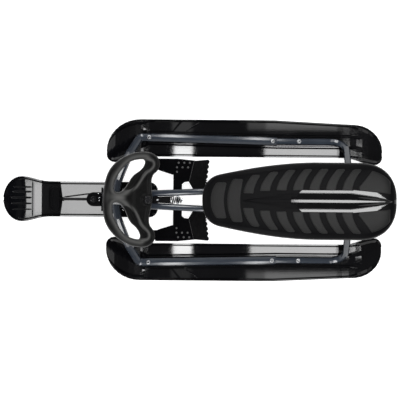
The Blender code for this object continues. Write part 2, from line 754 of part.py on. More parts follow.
def build_front_ski():
    nose = [SHOVEL_LENGTH * (1 - math.cos(math.radians(90 * i / 8))) for i in range(9)]
    curl = [SHOVEL_LENGTH + (DECK_START - SHOVEL_LENGTH) * i / 7 for i in range(1, 7)]
    step = [DECK_START, DECK_START + DECK_STEP / 2]
    tail = [FRONT_SKI_LENGTH - FRONT_TAIL_ROUND * (1 - math.cos(math.radians(90 * i / 5)))
            for i in range(5, -1, -1)]
    upper, lower = [], []
    for distance in nose + curl + step + [FRONT_NOSE_RUN] + tail:
        x = NOSE_X + distance
        half = front_half(distance)
        narrow = min(half / (4 * FRONT_RIM_WIDTH + 2 * KEEL_HALF), 1.0)
        rim, keel = FRONT_RIM_WIDTH * narrow, KEEL_HALF * narrow
        places = [half, half - rim, half - 2 * rim, keel + 0.5 * rim, keel]
        wall = FRONT_SKI_WALL - (DECK_STEP if distance <= DECK_START else 0.0)
        tops = [FRONT_SKI_WALL + FRONT_RIM] * 2 + [wall] * 3
        bases = [SKI_EDGE_LIFT, 0.0, 0.0, 0.0, KEEL_DEPTH]
        row = [(-place, top, base) for place, top, base in zip(places, tops, bases)]
        row += [(-y, top, base) for y, top, base in reversed(row)]
        point = DECK_POINT if distance in step else 0.0
        marks = [x + point * (1 - abs(y) / half) for y, _, _ in row]
        upper.append([(mark, y, front_lift(mark) + top) for mark, (y, top, _) in zip(marks, row)])
        lower.append([(mark, y, front_lift(mark) + base) for mark, (y, _, base) in zip(marks, row)])
    ski = loft("front_ski", upper, lower)
    for side in SIDES.values():
        low = (NOSE_X + BEAD_FRONT, side * BEAD_Y - BEAD_WIDTH / 2, FRONT_SKI_WALL / 2)
        high = (NOSE_X + FRONT_SKI_LENGTH - FRONT_TAIL_ROUND, side * BEAD_Y + BEAD_WIDTH / 2,
                FRONT_SKI_WALL + BEAD_HEIGHT)
        join(ski, block("bead", low, high))
    for x, y in bracket_screw_places():
        drill(ski, (x, y, 0.0015), (x, y, 0.03), REEL_SCREW_RADIUS * 1.6 + GAP, 10)
    finish(ski, "gloss_black")


def bracket_screw_places():
    y = (BRACKET_HALF_WIDTH + EAR_OUTER) / 2
    rear = PIVOT.x + BRACKET_BACK - 0.008
    front = PIVOT.x - BRACKET_FRONT + 0.008
    return [(front, y), (front, -y), (rear, y), (rear, -y)]


def build_bracket():
    """The base on the front ski with two ears that hold the pivot pin."""
    floor = front_ski_top(PIVOT.x) + GAP
    low = (PIVOT.x - BRACKET_FRONT, -BRACKET_HALF_WIDTH, floor)
    high = (PIVOT.x + BRACKET_BACK, BRACKET_HALF_WIDTH, floor + BRACKET_FLOOR)
    bracket = block("ski_bracket", low, high)
    foot = floor + BRACKET_FLOOR / 2
    outline = arc((PIVOT.x, PIVOT.z), EAR_RADIUS, -20, 200, 11)
    outline += [(PIVOT.x - BRACKET_FRONT, foot), (PIVOT.x + BRACKET_BACK * 0.72, foot)]
    for side in SIDES.values():
        ear = plate("ear", [outline], EAR_WALL)
        middle = side * (EAR_INNER + EAR_WALL / 2)
        place_plate(ear, Matrix.Translation((0, middle, 0)) @ SIDEWAYS)
        join(bracket, ear)
    drill(bracket, PIVOT - Vector((0, 0.1, 0)), PIVOT + Vector((0, 0.1, 0)), PIN_RADIUS + RUNNING, 20)
    top = floor + BRACKET_FLOOR
    for number, (x, y) in enumerate(bracket_screw_places(), start=1):
        drill(bracket, (x, y, floor - 0.01), (x, y, top + 0.01), REEL_SCREW_RADIUS * 1.6 + GAP, 10)
        screw = rod("bracket_screw_%d" % number, (x, y, 0.0015 + GAP), (x, y, top + 0.001),
                    REEL_SCREW_RADIUS * 1.6, 10)
        join(screw, rod("head", (x, y, top + GAP), (x, y, top + GAP + 0.0025), 0.0033, 14, 0.0026))
        finish(screw, "zinc")
    finish(bracket, "satin_black")
    pin = rod("pivot_pin", PIVOT - Vector((0, EAR_OUTER + PIN_HEAD, 0)),
              PIVOT + Vector((0, EAR_OUTER + 0.001, 0)), PIN_RADIUS, 20)
    for side in SIDES.values():
        inner = Vector((0, side * (EAR_OUTER + GAP), 0))
        outer = Vector((0, side * (EAR_OUTER + GAP + PIN_HEAD), 0))
        join(pin, rod("head", PIVOT + inner, PIVOT + outer, PIN_RADIUS * 1.7, 16))
    finish(pin, "zinc")


# Steering column and wheel
def build_column():
    """The column runs through both bushes to the cross eye that the pivot pin goes through."""
    column = rod("steering_column", on_column(WHEEL_THICKNESS / 2 - NUT_RADIUS), PIVOT,
                 COLUMN_RADIUS, 24)
    half = Vector((0, EYE_LENGTH / 2, 0))
    join(column, rod("eye", PIVOT - half, PIVOT + half, EYE_RADIUS, 28))
    drill(column, PIVOT - 1.2 * half, PIVOT + 1.2 * half, PIN_RADIUS + RUNNING, 20)
    finish(column, "zinc")
    above = HEAD_DROP - BUSH_FLANGE - 2 * GAP
    below = HEAD_FOOT_DROP + BUSH_FLANGE + 2 * GAP
    for name, drop, sign in (("collar_upper", above, -1), ("collar_lower", below, 1)):
        end = on_column(drop + sign * COLLAR_LENGTH)
        collar = rod(name, on_column(drop), end, COLLAR_RADIUS, 28)
        drill(collar, on_column(drop - sign * 0.01), on_column(drop + sign * 0.03),
              COLUMN_RADIUS + GAP, 24)
        finish(collar, "satin_black")


def mirrored(half_outline):
    """A full outline from its half on the +v side, both ends on the middle line."""
    return half_outline + [(u, -v) for u, v in reversed(half_outline[1:-1])]


def wheel_outlines():
    """The butterfly outline and its two grip openings, as shares of the wheel's depth and reach."""
    d, r = WHEEL_DEPTH, WHEEL_REACH
    rim = [(-1.00, 0.0), (-0.995, 0.16), (-0.965, 0.36), (-0.91, 0.525), (-0.83, 0.65), (-0.73, 0.752),
           (-0.605, 0.846), (-0.485, 0.908), (-0.325, 0.97), (-0.14, 1.0), (0.025, 0.993), (0.155, 0.938),
           (0.23, 0.85), (0.25, 0.765), (0.232, 0.68), (0.178, 0.60), (0.11, 0.53), (0.08, 0.44),
           (0.078, 0.355), (0.095, 0.20), (0.12, 0.07), (0.123, 0.0)]
    hole = [(-0.790, 0.185), (-0.770, 0.35), (-0.685, 0.505), (-0.570, 0.652), (-0.435, 0.763),
            (-0.270, 0.82), (-0.117, 0.83), (-0.085, 0.763), (-0.129, 0.667), (-0.212, 0.583),
            (-0.307, 0.515), (-0.382, 0.425), (-0.440, 0.32), (-0.508, 0.218), (-0.601, 0.135),
            (-0.705, 0.109), (-0.768, 0.13)]
    outer = smooth_loop(mirrored([(u * d + WHEEL_SHIFT, v * r) for u, v in rim]))
    left = smooth_loop([(u * d + WHEEL_SHIFT, v * r) for u, v in hole])
    return [outer, left, [(u, -v) for u, v in left]]


def web_outline():
    """Outline of the lowered web beside a grip opening, with the same shares as the wheel's outlines."""
    edge = [(-0.248, 0.770), (-0.114, 0.812), (-0.010, 0.800), (0.035, 0.763), (0.027, 0.714), (-0.020, 0.661),
            (-0.110, 0.590), (-0.181, 0.504), (-0.246, 0.396), (-0.319, 0.286), (-0.397, 0.211), (-0.486, 0.163),
            (-0.565, 0.170), (-0.525, 0.296), (-0.456, 0.444), (-0.360, 0.630)]
    return smooth_loop([(u * WHEEL_DEPTH + WHEEL_SHIFT, v * WHEEL_REACH) for u, v in edge])


def build_wheel():
    """The butterfly plate with a lowered web beside each opening, and the boss that takes the column."""
    wheel = plate("steering_wheel", wheel_outlines(), WHEEL_THICKNESS, WHEEL_ROUNDING)
    web_height = WHEEL_THICKNESS - WEB_POCKET
    for side in SIDES.values():
        pocket = plate("pocket", [[(u, side * v) for u, v in web_outline()]], WHEEL_THICKNESS, WEB_FILLET, 1)
        cut(wheel, place_plate(pocket, Matrix.Translation((0, 0, web_height))))
    place_plate(wheel, WHEEL_PLACE @ Matrix.Rotation(-WHEEL_TURN, 4, "Z"))
    boss_top = WHEEL_THICKNESS / 2 - WHEEL_ROUNDING
    join(wheel, rod("boss", on_column(-boss_top), on_column(HUB_DEPTH), HUB_RADIUS, 28, HUB_RADIUS * 0.86))
    recess = WHEEL_THICKNESS / 2 - NUT_RADIUS - GAP
    drill(wheel, on_column(recess), on_column(HUB_DEPTH + 0.01), COLUMN_RADIUS + GAP, 24)
    drill(wheel, on_column(recess + 0.001), on_column(-WHEEL_THICKNESS), NUT_RADIUS + 0.001, 20)
    finish(wheel, "soft_grey")
    cap_seat = WHEEL_THICKNESS / 2 + GAP
    nut = rod("wheel_nut", on_column(WHEEL_THICKNESS / 2 - NUT_RADIUS - GAP),
              on_column(-WHEEL_THICKNESS / 2 + 0.001), NUT_RADIUS, 6)
    finish(nut, "zinc")
    cap = rod("hub_cap", on_column(-cap_seat), on_column(-cap_seat - CAP_RISE), CAP_RADIUS, 32,
              CAP_RADIUS * 0.86)
    finish(cap, "satin_black")


# Foot brake
def build_brake_bracket(name, side):
    """An ear welded under a spine tube, with a hole for the brake's axle."""
    y = spine_half(AXLE_X)
    top = spine_height(AXLE_X)
    outline = arc((AXLE_X, AXLE_HEIGHT), BRAKE_EAR_RADIUS, -180, 0, 10)
    outline += [(AXLE_X + BRAKE_EAR_RADIUS * 1.3, top), (AXLE_X - BRAKE_EAR_RADIUS * 1.3, top)]
    ear = plate(name, [outline], BRAKE_EAR_WALL)
    place_plate(ear, Matrix.Translation((0, side * y, 0)) @ SIDEWAYS)
    reach = 0.06
    drill(ear, spine_point(AXLE_X - reach, side), spine_point(AXLE_X + reach, side), SPINE_RADIUS + GAP, 20)
    drill(ear, (AXLE_X, 0, AXLE_HEIGHT), (AXLE_X, side * 0.1, AXLE_HEIGHT), AXLE_RADIUS + RUNNING, 16)
    finish(ear, "lacquer")


def build_axle():
    """The steel axle with the tab that the return spring pulls on."""
    end = BRAKE_PLATE_OUTER + PUSH_NUT_WIDTH + AXLE_END
    axle = rod("brake_axle", (AXLE_X, -end, AXLE_HEIGHT), (AXLE_X, end, AXLE_HEIGHT), AXLE_RADIUS, 16)
    tab_x = AXLE_X + TAB_SETBACK
    top = SPRING_HEIGHT + SPRING_WIRE + 0.003
    arm = block("arm", (AXLE_X, -TAB_HALF_WIDTH / 2, AXLE_HEIGHT - AXLE_RADIUS / 2),
                (tab_x + TAB_THICKNESS / 2, TAB_HALF_WIDTH / 2, AXLE_HEIGHT + AXLE_RADIUS / 2))
    tab = block("tab", (tab_x, -TAB_HALF_WIDTH, AXLE_HEIGHT - AXLE_RADIUS),
                (tab_x + TAB_THICKNESS, TAB_HALF_WIDTH, top))
    join(axle, arm, tab)
    finish(axle, "zinc")
    for label, side in SIDES.items():
        near = side * (BRAKE_PLATE_OUTER + GAP)
        far = near + side * PUSH_NUT_WIDTH
        nut = rod("push_nut_" + label, (AXLE_X, near, AXLE_HEIGHT), (AXLE_X, far, AXLE_HEIGHT),
                  PUSH_NUT_RADIUS, 16)
        drill(nut, (AXLE_X, near - side * 0.01, AXLE_HEIGHT), (AXLE_X, far + side * 0.02, AXLE_HEIGHT),
              AXLE_RADIUS + GAP, 16)
        finish(nut, "zinc")


BRAKE_PLATE_INNER = spine_half(AXLE_X) + BRAKE_EAR_WALL / 2 + RUNNING
BRAKE_PLATE_OUTER = SLEEVE_REACH


def build_blade(height):
    """The toothed blade, ruled from the swept crease down to the row of teeth."""
    crease_start = Vector((CREASE_OUTER_X - 0.003, CREASE_OUTER_Y - 0.001, height))
    crease_end = crease_start + Vector((-math.tan(CREASE_SWEEP), -1, 0)) * (CREASE_OUTER_Y - BLADE_INNER_Y)
    teeth_start = Vector((TEETH_OUTER_X, CREASE_OUTER_Y + BLADE_FLARE, height - BLADE_DROP))
    teeth_end = Vector((TEETH_OUTER_X - TEETH_SWEEP, BLADE_INNER_Y, height - BLADE_DROP))
    slope = math.atan2(BLADE_DROP, TEETH_OUTER_X - CREASE_OUTER_X)
    skin = Vector((math.sin(slope), 0, math.cos(slope))) * BLADE_THICKNESS / 2
    notch = (CREASE_OUTER_Y - NOTCH_Y) / (CREASE_OUTER_Y - BLADE_INNER_Y)
    upper, lower = [], []
    marks = [(tooth + share, deep) for tooth in range(TOOTH_COUNT)
             for share, deep in ((0.0, 1), (0.3, 0), (0.65, 0))]
    marks = sorted(marks + [(TOOTH_COUNT, 1), (TOOTH_COUNT * notch, 1)])
    for mark, deep in marks:
        share = mark / TOOTH_COUNT
        top = crease_start.lerp(crease_end, share)
        foot = teeth_start.lerp(teeth_end, share)
        first = NOTCH_DEPTH * max(share - notch, 0.0) / (1 - notch)
        last = 1 - deep * TOOTH_DEPTH / BLADE_DROP
        row = [top.lerp(foot, first + (last - first) * step / 3) for step in range(4)]
        upper.append([point + skin for point in row])
        lower.append([point - skin for point in row])
    return loft("blade", upper, lower)


def build_brake_plate(name, side):
    """Foot pad with its arm, the sleeve on the axle, and the toothed blade that slopes to the snow."""
    top = AXLE_HEIGHT + SLEEVE_RADIUS - PAD_SINK
    middle = top - PAD_THICKNESS / 2
    crease_x = CREASE_OUTER_X - math.tan(CREASE_SWEEP) * (CREASE_OUTER_Y - NOTCH_Y)
    crease_y = NOTCH_Y
    rear = AXLE_X + SLEEVE_RADIUS - 0.002
    front = AXLE_X - SLEEVE_RADIUS - 0.001
    outline = [(PAD_FRONT_X + PAD_FRONT_SLANT, BRAKE_HALF_WIDTH), (AXLE_X, BRAKE_HALF_WIDTH),
               (CREASE_OUTER_X, CREASE_OUTER_Y), (crease_x, crease_y)]
    outline += [(rear + 0.023, crease_y - 0.001), (rear + 0.009, crease_y - 0.003),
                (rear + 0.002, crease_y - 0.009), (rear, crease_y - 0.017), (rear, BRAKE_PLATE_INNER + 0.004),
                (front, BRAKE_PLATE_INNER + 0.004), (front, SLEEVE_REACH), (front - 0.016, SLEEVE_REACH + 0.005),
                (front - 0.034, ARM_INNER - 0.006), (PAD_FRONT_X + 0.020, ARM_INNER - 0.001),
                (PAD_FRONT_X, ARM_INNER)]
    pad = plate(name, [outline], PAD_THICKNESS)
    place_plate(pad, Matrix.Translation((0, 0, middle)))
    sleeve = rod("sleeve", (AXLE_X, BRAKE_PLATE_INNER, AXLE_HEIGHT), (AXLE_X, BRAKE_PLATE_OUTER, AXLE_HEIGHT),
                 SLEEVE_RADIUS, 24)
    skirt = block("skirt", (PAD_FRONT_X + PAD_FRONT_SLANT + 0.004, BRAKE_HALF_WIDTH - 0.006, top - SKIRT_DEPTH),
                  (AXLE_X - 0.002, BRAKE_HALF_WIDTH - 0.002, top - PAD_THICKNESS / 2))
    join(pad, sleeve, skirt, build_blade(middle))
    for row, (first, count) in enumerate(((0.0, 3), (-0.3, 3), (-0.3, 1))):
        for column in range(count):
            x = AXLE_X + STUD_PITCH * (first + column) + 0.002
            y = BRAKE_HALF_WIDTH - 0.012 - 0.0135 * row
            join(pad, rod("stud", (x, y, top - 0.002), (x, y, top + STUD_RISE), STUD_RADIUS, 8,
                          STUD_RADIUS * 0.6))
    drill(pad, (AXLE_X, 0, AXLE_HEIGHT), (AXLE_X, 0.2, AXLE_HEIGHT), AXLE_RADIUS + GAP, 16)
    if side < 0:
        pad.data.transform(Matrix.Scale(-1, 4, (0, 1, 0)))
        pad.data.flip_normals()
    finish(pad, "matt_black")


def build_spring_block():
    """A moulded block wedged between the spine tubes, with a notch where the spring is hooked."""
    rows = []
    for x in (BLOCK_FRONT_X, BLOCK_REAR_X):
        half = spine_half(x) - SPINE_RADIUS - 2 * GAP
        rows.append((x, half, spine_height(x)))
    (front_x, front_half_width, front_z), (rear_x, rear_half_width, rear_z) = rows
    notch_x = rear_x - BLOCK_NOTCH
    outline = [(front_x, -front_half_width), (rear_x, -rear_half_width), (notch_x, -SPRING_RADIUS * 0.7),
               (notch_x, SPRING_RADIUS * 0.7), (rear_x, rear_half_width), (front_x, front_half_width)]
    core = plate("spring_block", [outline], BLOCK_HEIGHT)
    height = (front_z + rear_z) / 2
    place_plate(core, Matrix.Translation((0, 0, height)))
    reach = SPRING_RADIUS + SPRING_WIRE + 0.0015
    drill(core, (notch_x - 0.0, 0, SPRING_HEIGHT), (rear_x + 0.01, 0, SPRING_HEIGHT), reach, 20)
    screw_x = BLOCK_FRONT_X + 0.024
    top = height + BLOCK_HEIGHT / 2
    drill(core, (screw_x, 0, height - BLOCK_HEIGHT / 4), (screw_x, 0, top + 0.01), BOLT_RADIUS * 0.7 + GAP, 12)
    finish(core, "satin_black")
    screw = rod("spring_block_screw", (screw_x, 0, height - BLOCK_HEIGHT / 4 + GAP),
                (screw_x, 0, top + BOLT_HEAD / 2), BOLT_RADIUS * 0.7, 12)
    join(screw, rod("head", (screw_x, 0, top + GAP), (screw_x, 0, top + GAP + 0.002), 0.0042, 14, 0.003))
    finish(screw, "zinc")
    return notch_x


def build_spring(notch_x):
    """One unbroken wire helix from the block's notch to the axle's tab."""
    start = notch_x + SPRING_WIRE + GAP
    end = AXLE_X + TAB_SETBACK - SPRING_WIRE - GAP
    steps = round(SPRING_TURNS * 10)
    points = []
    for i in range(steps + 1):
        angle = 2 * math.pi * SPRING_TURNS * (i - steps) / steps - math.pi / 2
        points.append((start + (end - start) * i / steps, SPRING_RADIUS * math.cos(angle),
                       SPRING_HEIGHT + SPRING_RADIUS * math.sin(angle)))
    pitch = (end - start) / SPRING_TURNS
    print("brake spring: least gap between turns %.2f mm" % ((pitch - 2 * SPRING_WIRE) * 1000))
    spring = tube("brake_spring", points, SPRING_WIRE, 1)
    finish(spring, "zinc")


# Seat
def seat_half(x):
    """Half the seat's width: a long taper, rounded at both ends."""
    ahead = max(x - SEAT_FRONT_X, 0.0)
    behind = max(SEAT_FRONT_X + SEAT_LENGTH - x, 0.0)
    share = min(ahead / SEAT_TAPER_LENGTH, 1.0)
    half = SEAT_FRONT_HALF + (SEAT_HALF_WIDTH - SEAT_FRONT_HALF) * math.sin(math.pi / 2 * share)
    return half * seat_round(ahead, SEAT_FRONT_ROUND, 2.5) * seat_round(behind, SEAT_REAR_ROUND, 2.4)


def seat_round(distance, rounding, power):
    """A superellipse corner from near 0 at the end to 1 past the rounding."""
    share = min(max(distance / rounding, 0.0), 1.0)
    return max((1 - (1 - share) ** power) ** (1 / power), 0.10)


def seat_top(x, y):
    """Height of the seat's upper face: a crown with a raised spine along its middle."""
    ahead = x - SEAT_FRONT_X
    behind = SEAT_FRONT_X + SEAT_LENGTH - x
    rise = SEAT_THICKNESS * (0.80 + 0.20 * ease(ahead / 0.16)) + SEAT_KICK * ease((ahead - 0.40) / 0.12)
    ends = min(seat_round(ahead, SEAT_FRONT_ROUND, 2.5), seat_round(behind, SEAT_REAR_ROUND * 0.5, 2.4))
    half = max(seat_half(x), 0.004)
    crown = 1 - 0.13 * min(abs(y) / half, 1.0) ** 4
    spread = seat_ridge_share(x)
    across = (abs(y) / (SPINE_RIDGE_HALF * max(spread, 0.05)) - SPINE_RIDGE_CREST) / (1 - SPINE_RIDGE_CREST)
    ridge = SPINE_RIDGE * math.sqrt(spread) * (1 - ease(across))
    return SEAT_BOTTOM + rise * (0.45 + 0.55 * ends) * crown + ridge


def seat_ridge_share(x):
    """Width of the raised spine as a share of its widest, pointed at both of its ends."""
    ahead = x - SEAT_FRONT_X
    behind = SEAT_FRONT_X + SEAT_LENGTH - x
    start = (ahead - SPINE_RIDGE_START) / (SPINE_RIDGE_FULL - SPINE_RIDGE_START)
    stop = (behind - SPINE_RIDGE_END) / (SPINE_RIDGE_NARROW - SPINE_RIDGE_END)
    return min(max(start, 0.0), 1.0) ** 0.75 * min(max(stop, 0.0), 1.0) ** 0.65


def seat_ring(x):
    """One closed section of the seat, from the middle of the base round to itself."""
    half = seat_half(x)
    spread = min(max(seat_ridge_share(x), 0.5) * SPINE_RIDGE_HALF, 0.3 * half)
    places = [spread * share for share in (0.0, SPINE_RIDGE_CREST, 0.45, 0.72, 1.0)]
    places += [half * share for share in (0.36, 0.50, 0.68, 0.84)]
    top = [(y, seat_top(x, y)) for y in places]
    edge = seat_top(x, half * 0.84) - SEAT_BOTTOM
    side = [(half * 0.95, SEAT_BOTTOM + edge * 0.86), (half, SEAT_BOTTOM + edge * 0.60),
            (half * 0.985, SEAT_BOTTOM + edge * 0.34), (half * 0.93, SEAT_BOTTOM + edge * 0.12),
            (half * 0.84, SEAT_BOTTOM), (half * 0.45, SEAT_BOTTOM)]
    right = top + side
    ring = [(x, y, z) for y, z in right] + [(x, 0.0, SEAT_BOTTOM)]
    return ring + [(x, -y, z) for y, z in reversed(right[1:])]


def build_seat():
    front = [SEAT_FRONT_ROUND * (1 - math.cos(math.radians(90 * i / 6))) for i in range(7)]
    tail = [SEAT_LENGTH - SEAT_REAR_ROUND * (1 - math.cos(math.radians(90 * i / 8))) for i in range(8, -1, -1)]
    first, last = front[-1], tail[0]
    middle = [first + (last - first) * i / 10 for i in range(1, 10)]
    seat = ring_loft("seat", [seat_ring(SEAT_FRONT_X + d) for d in front + middle + tail])
    join(seat, *seat_grips())
    for x in (SADDLE_FRONT_X, SADDLE_REAR_X):
        for side in SIDES.values():
            drill(seat, (x, side * SEAT_BOLT_Y, SEAT_BOTTOM - 0.02),
                  (x, side * SEAT_BOLT_Y, SEAT_BOTTOM + SEAT_BOLT_DEPTH), SEAT_BOLT_RADIUS + GAP, 12)
    finish(seat, "satin_black")


def grip_patch(rows):
    """A raised pad that follows the seat, from rows of plan points."""
    upper = [[(x, y, seat_top(x, y) + GRIP_RISE) for x, y in row] for row in rows]
    lower = [[(x, y, seat_top(x, y) - 0.006) for x, y in row] for row in rows]
    return loft("grip", upper, lower)


def grip_row(x, y, width):
    return [(x - width / 2, y), (x - width / 6, y), (x + width / 6, y), (x + width / 2, y)]


def grip_count():
    """How many slanted pads fit in front of the rear pads."""
    rear_pad = SEAT_LENGTH - REAR_GRIP_MARGIN - REAR_GRIP_LENGTH - GRIP_CLEARANCE
    return int((rear_pad - GRIP_START - GRIP_WIDTH / 2) / GRIP_PITCH) + 1


def seat_grips():
    """Two bands across the front, slanted pads down both sides and a large pad at each rear corner."""
    grips = []
    for number in range(2):
        centre = SEAT_FRONT_X + BAND_FIRST + BAND_PITCH * number
        reach = seat_half(centre) - 1.15 * GRIP_MARGIN
        rows = []
        for step in range(-4, 5):
            share = step / 4
            width = BAND_WIDTH * (1 - 0.22 * abs(share) ** 3)
            rows.append(grip_row(centre + BAND_BOW * share ** 2, reach * share, width))
        grips.append(grip_patch(rows))
    for side in SIDES.values():
        for number in range(grip_count()):
            centre = SEAT_FRONT_X + GRIP_START + GRIP_PITCH * number
            front_pad = 0.3 ** number
            reach = seat_half(centre + GRIP_SLANT) - GRIP_MARGIN * (1 + 0.2 * front_pad)
            inner = GRIP_INNER * (1 - 0.32 * front_pad)
            slant = GRIP_SLANT * (1 - 0.25 * front_pad)
            rows = []
            for share, width in GRIP_SHAPE:
                y = inner + (reach - inner) * share
                rows.append(grip_row(centre + slant * share ** 1.8, side * y, GRIP_WIDTH * width))
            grips.append(grip_patch(rows))
        rows = []
        for step in range(8):
            share = step / 7
            x = SEAT_FRONT_X + SEAT_LENGTH - REAR_GRIP_MARGIN - REAR_GRIP_LENGTH * (1 - share)
            inner = GRIP_INNER * (1 - 0.3 * share)
            outer = min(GRIP_INNER * 1.3 + 1.25 * REAR_GRIP_LENGTH * share, seat_half(x) - GRIP_MARGIN)
            outer = max(outer, inner + GRIP_INNER / 3)
            rows.append([(x, side * (inner + (outer - inner) * j / 3)) for j in range(4)])
        grips.append(grip_patch(rows))
    return grips


def build_saddles():
    """Moulded saddles between the seat's base and the spine tubes, each held by two bolts."""
    for name, centre in (("seat_saddle_front", SADDLE_FRONT_X), ("seat_saddle_rear", SADDLE_REAR_X)):
        half = spine_half(centre) + SPINE_RADIUS + SADDLE_WALL
        low = spine_height(centre) - SPINE_RADIUS * 0.6
        saddle = block(name, (centre - SADDLE_LENGTH / 2, -half, low),
                       (centre + SADDLE_LENGTH / 2, half, SEAT_BOTTOM - GAP))
        for side in SIDES.values():
            ahead = spine_point(centre - SADDLE_LENGTH, side)
            drill(saddle, ahead, spine_point(centre + SADDLE_LENGTH, side), SPINE_RADIUS + GAP, 20)
            clearance = 0.03
            drill(saddle, (centre, side * SEAT_BOLT_Y, low - clearance),
                  (centre, side * SEAT_BOLT_Y, SEAT_BOTTOM + clearance), SEAT_BOLT_RADIUS + GAP, 12)
        finish(saddle, "satin_black")
        for label, side in SIDES.items():
            y = side * SEAT_BOLT_Y
            bolt = rod(name.replace("saddle", "bolt") + "_" + label, (centre, y, low - 0.001),
                       (centre, y, SEAT_BOTTOM + SEAT_BOLT_DEPTH - GAP), SEAT_BOLT_RADIUS, 12)
            join(bolt, rod("head", (centre, y, low - GAP - 0.003), (centre, y, low - GAP), SEAT_BOLT_HEAD, 6))
            finish(bolt, "zinc")


# Tow line
def reel_places():
    """Rear face, spool centre and floor of the reel in front of the ski bracket."""
    rear = PIVOT.x - BRACKET_FRONT - GAP
    centre = rear - REEL_HALF_WIDTH * 0.97
    return rear, centre, front_ski_top(centre - REEL_HALF_WIDTH) + GAP


def reel_outline(rear, centre):
    outline = arc((centre, 0), REEL_HALF_WIDTH, 90, 270, 18)
    return outline + [(rear, -REEL_HALF_WIDTH), (rear, REEL_HALF_WIDTH)]


def reel_screw_places(rear):
    return [(rear - 0.0035, -0.0045), (rear - 0.0035, 0.0045), (rear - 0.0055, 0.0170)]


def build_reel():
    """The case with its spool well and line mouth, the cover with a raised disc, and the spool."""
    rear, centre, floor = reel_places()
    top = floor + REEL_HEIGHT
    case = plate("reel_case", [reel_outline(rear, centre)], REEL_HEIGHT)
    place_plate(case, Matrix.Translation((0, 0, floor + REEL_HEIGHT / 2)))
    well = SPOOL_RADIUS + CAVITY_MARGIN
    drill(case, (centre, 0, floor + REEL_FLOOR), (centre, 0, top + 0.01), well, 28)
    post = rod("post", (centre, 0, floor + REEL_FLOOR / 2), (centre, 0, top - 0.0005), SPOOL_POST, 14)
    mouth = floor + TOW_HEIGHT
    drill(case, (centre - REEL_HALF_WIDTH - 0.01, 0, mouth), (centre - well / 2, 0, mouth),
          TOW_RADIUS + 0.0008, 16)
    join(case, post)
    for x, y in reel_screw_places(rear):
        drill(case, (x, y, top - REEL_SCREW_LENGTH), (x, y, top + 0.01), REEL_SCREW_RADIUS + GAP, 10)
    finish(case, "satin_black")
    cover_low = top + GAP
    cover = plate("reel_cover", [reel_outline(rear, centre)], REEL_COVER)
    place_plate(cover, Matrix.Translation((0, 0, cover_low + REEL_COVER / 2)))
    join(cover, rod("disc", (centre, 0, cover_low + REEL_COVER / 2),
                    (centre, 0, cover_low + REEL_COVER + REEL_DISC_RISE), REEL_DISC_RADIUS, 28,
                    REEL_DISC_RADIUS * 0.9))
    seat = cover_low + REEL_COVER
    for number, (x, y) in enumerate(reel_screw_places(rear), start=1):
        drill(cover, (x, y, cover_low - 0.01), (x, y, seat + 0.01), REEL_SCREW_RADIUS + GAP, 10)
        screw = rod("reel_screw_%d" % number, (x, y, top - REEL_SCREW_LENGTH + GAP), (x, y, seat + 0.001),
                    REEL_SCREW_RADIUS, 10)
        join(screw, rod("head", (x, y, seat + GAP), (x, y, seat + GAP + 0.0015), REEL_SCREW_HEAD, 12,
                        REEL_SCREW_HEAD * 0.7))
        finish(screw, "zinc")
    finish(cover, "satin_black")
    build_spool(centre, floor + REEL_FLOOR + RUNNING)
    return centre, mouth


def build_spool(centre, base):
    """A bobbin on the case's post: two flanges, a core, and the line on it as one plain layer."""
    lip = 0.002
    wound = SPOOL_RADIUS - 0.002
    spool = rod("reel_spool", (centre, 0, base), (centre, 0, base + lip), SPOOL_RADIUS, 28)
    join(spool, rod("wound", (centre, 0, base + lip / 2), (centre, 0, base + SPOOL_HEIGHT - lip / 2), wound, 24))
    join(spool, rod("lip", (centre, 0, base + SPOOL_HEIGHT - lip), (centre, 0, base + SPOOL_HEIGHT),
                    SPOOL_RADIUS, 28))
    drill(spool, (centre, 0, base - 0.01), (centre, 0, base + SPOOL_HEIGHT + 0.01), SPOOL_POST + RUNNING, 14)
    finish(spool, "nylon")


def build_handle(line_height):
    """A moulded bar across the ski with a shallow recess along its top and a boss for the line."""
    half_width, half_length = HANDLE_WIDTH / 2, HANDLE_LENGTH / 2
    offset = half_length - half_width
    outline = arc((0, offset), half_width, 0, 180, 8) + arc((0, -offset), half_width, 180, 360, 8)
    handle = plate("tow_handle", [outline], HANDLE_THICKNESS, HANDLE_ROUNDING)
    slot = HANDLE_WIDTH * 0.24
    groove = arc((0, offset), slot, 0, 180, 6) + arc((0, -offset), slot, 180, 360, 6)
    recess = place_plate(plate("recess", [groove], HANDLE_THICKNESS),
                         Matrix.Translation((0, 0, HANDLE_THICKNESS * 0.78)))
    cut(handle, recess)
    centre = Vector((HANDLE_X, 0, HANDLE_SEAT + front_ski_top(HANDLE_X) - FRONT_SKI_WALL))
    place_plate(handle, Matrix.Translation(centre) @ Matrix.Rotation(HANDLE_TILT, 4, "Y"))
    rear = HANDLE_X + half_width + HANDLE_BOSS_LENGTH
    boss = rod("boss", (HANDLE_X + half_width * 0.6, 0, centre.z), (rear, 0, line_height), HANDLE_BOSS, 16,
               HANDLE_BOSS * 0.86)
    join(handle, boss)
    cut(handle, block("rear_face", (rear - 0.0006, -0.02, centre.z - 0.03), (rear + 0.02, 0.02, centre.z + 0.03)))
    finish(handle, "matt_black")
    return rear - 0.0006


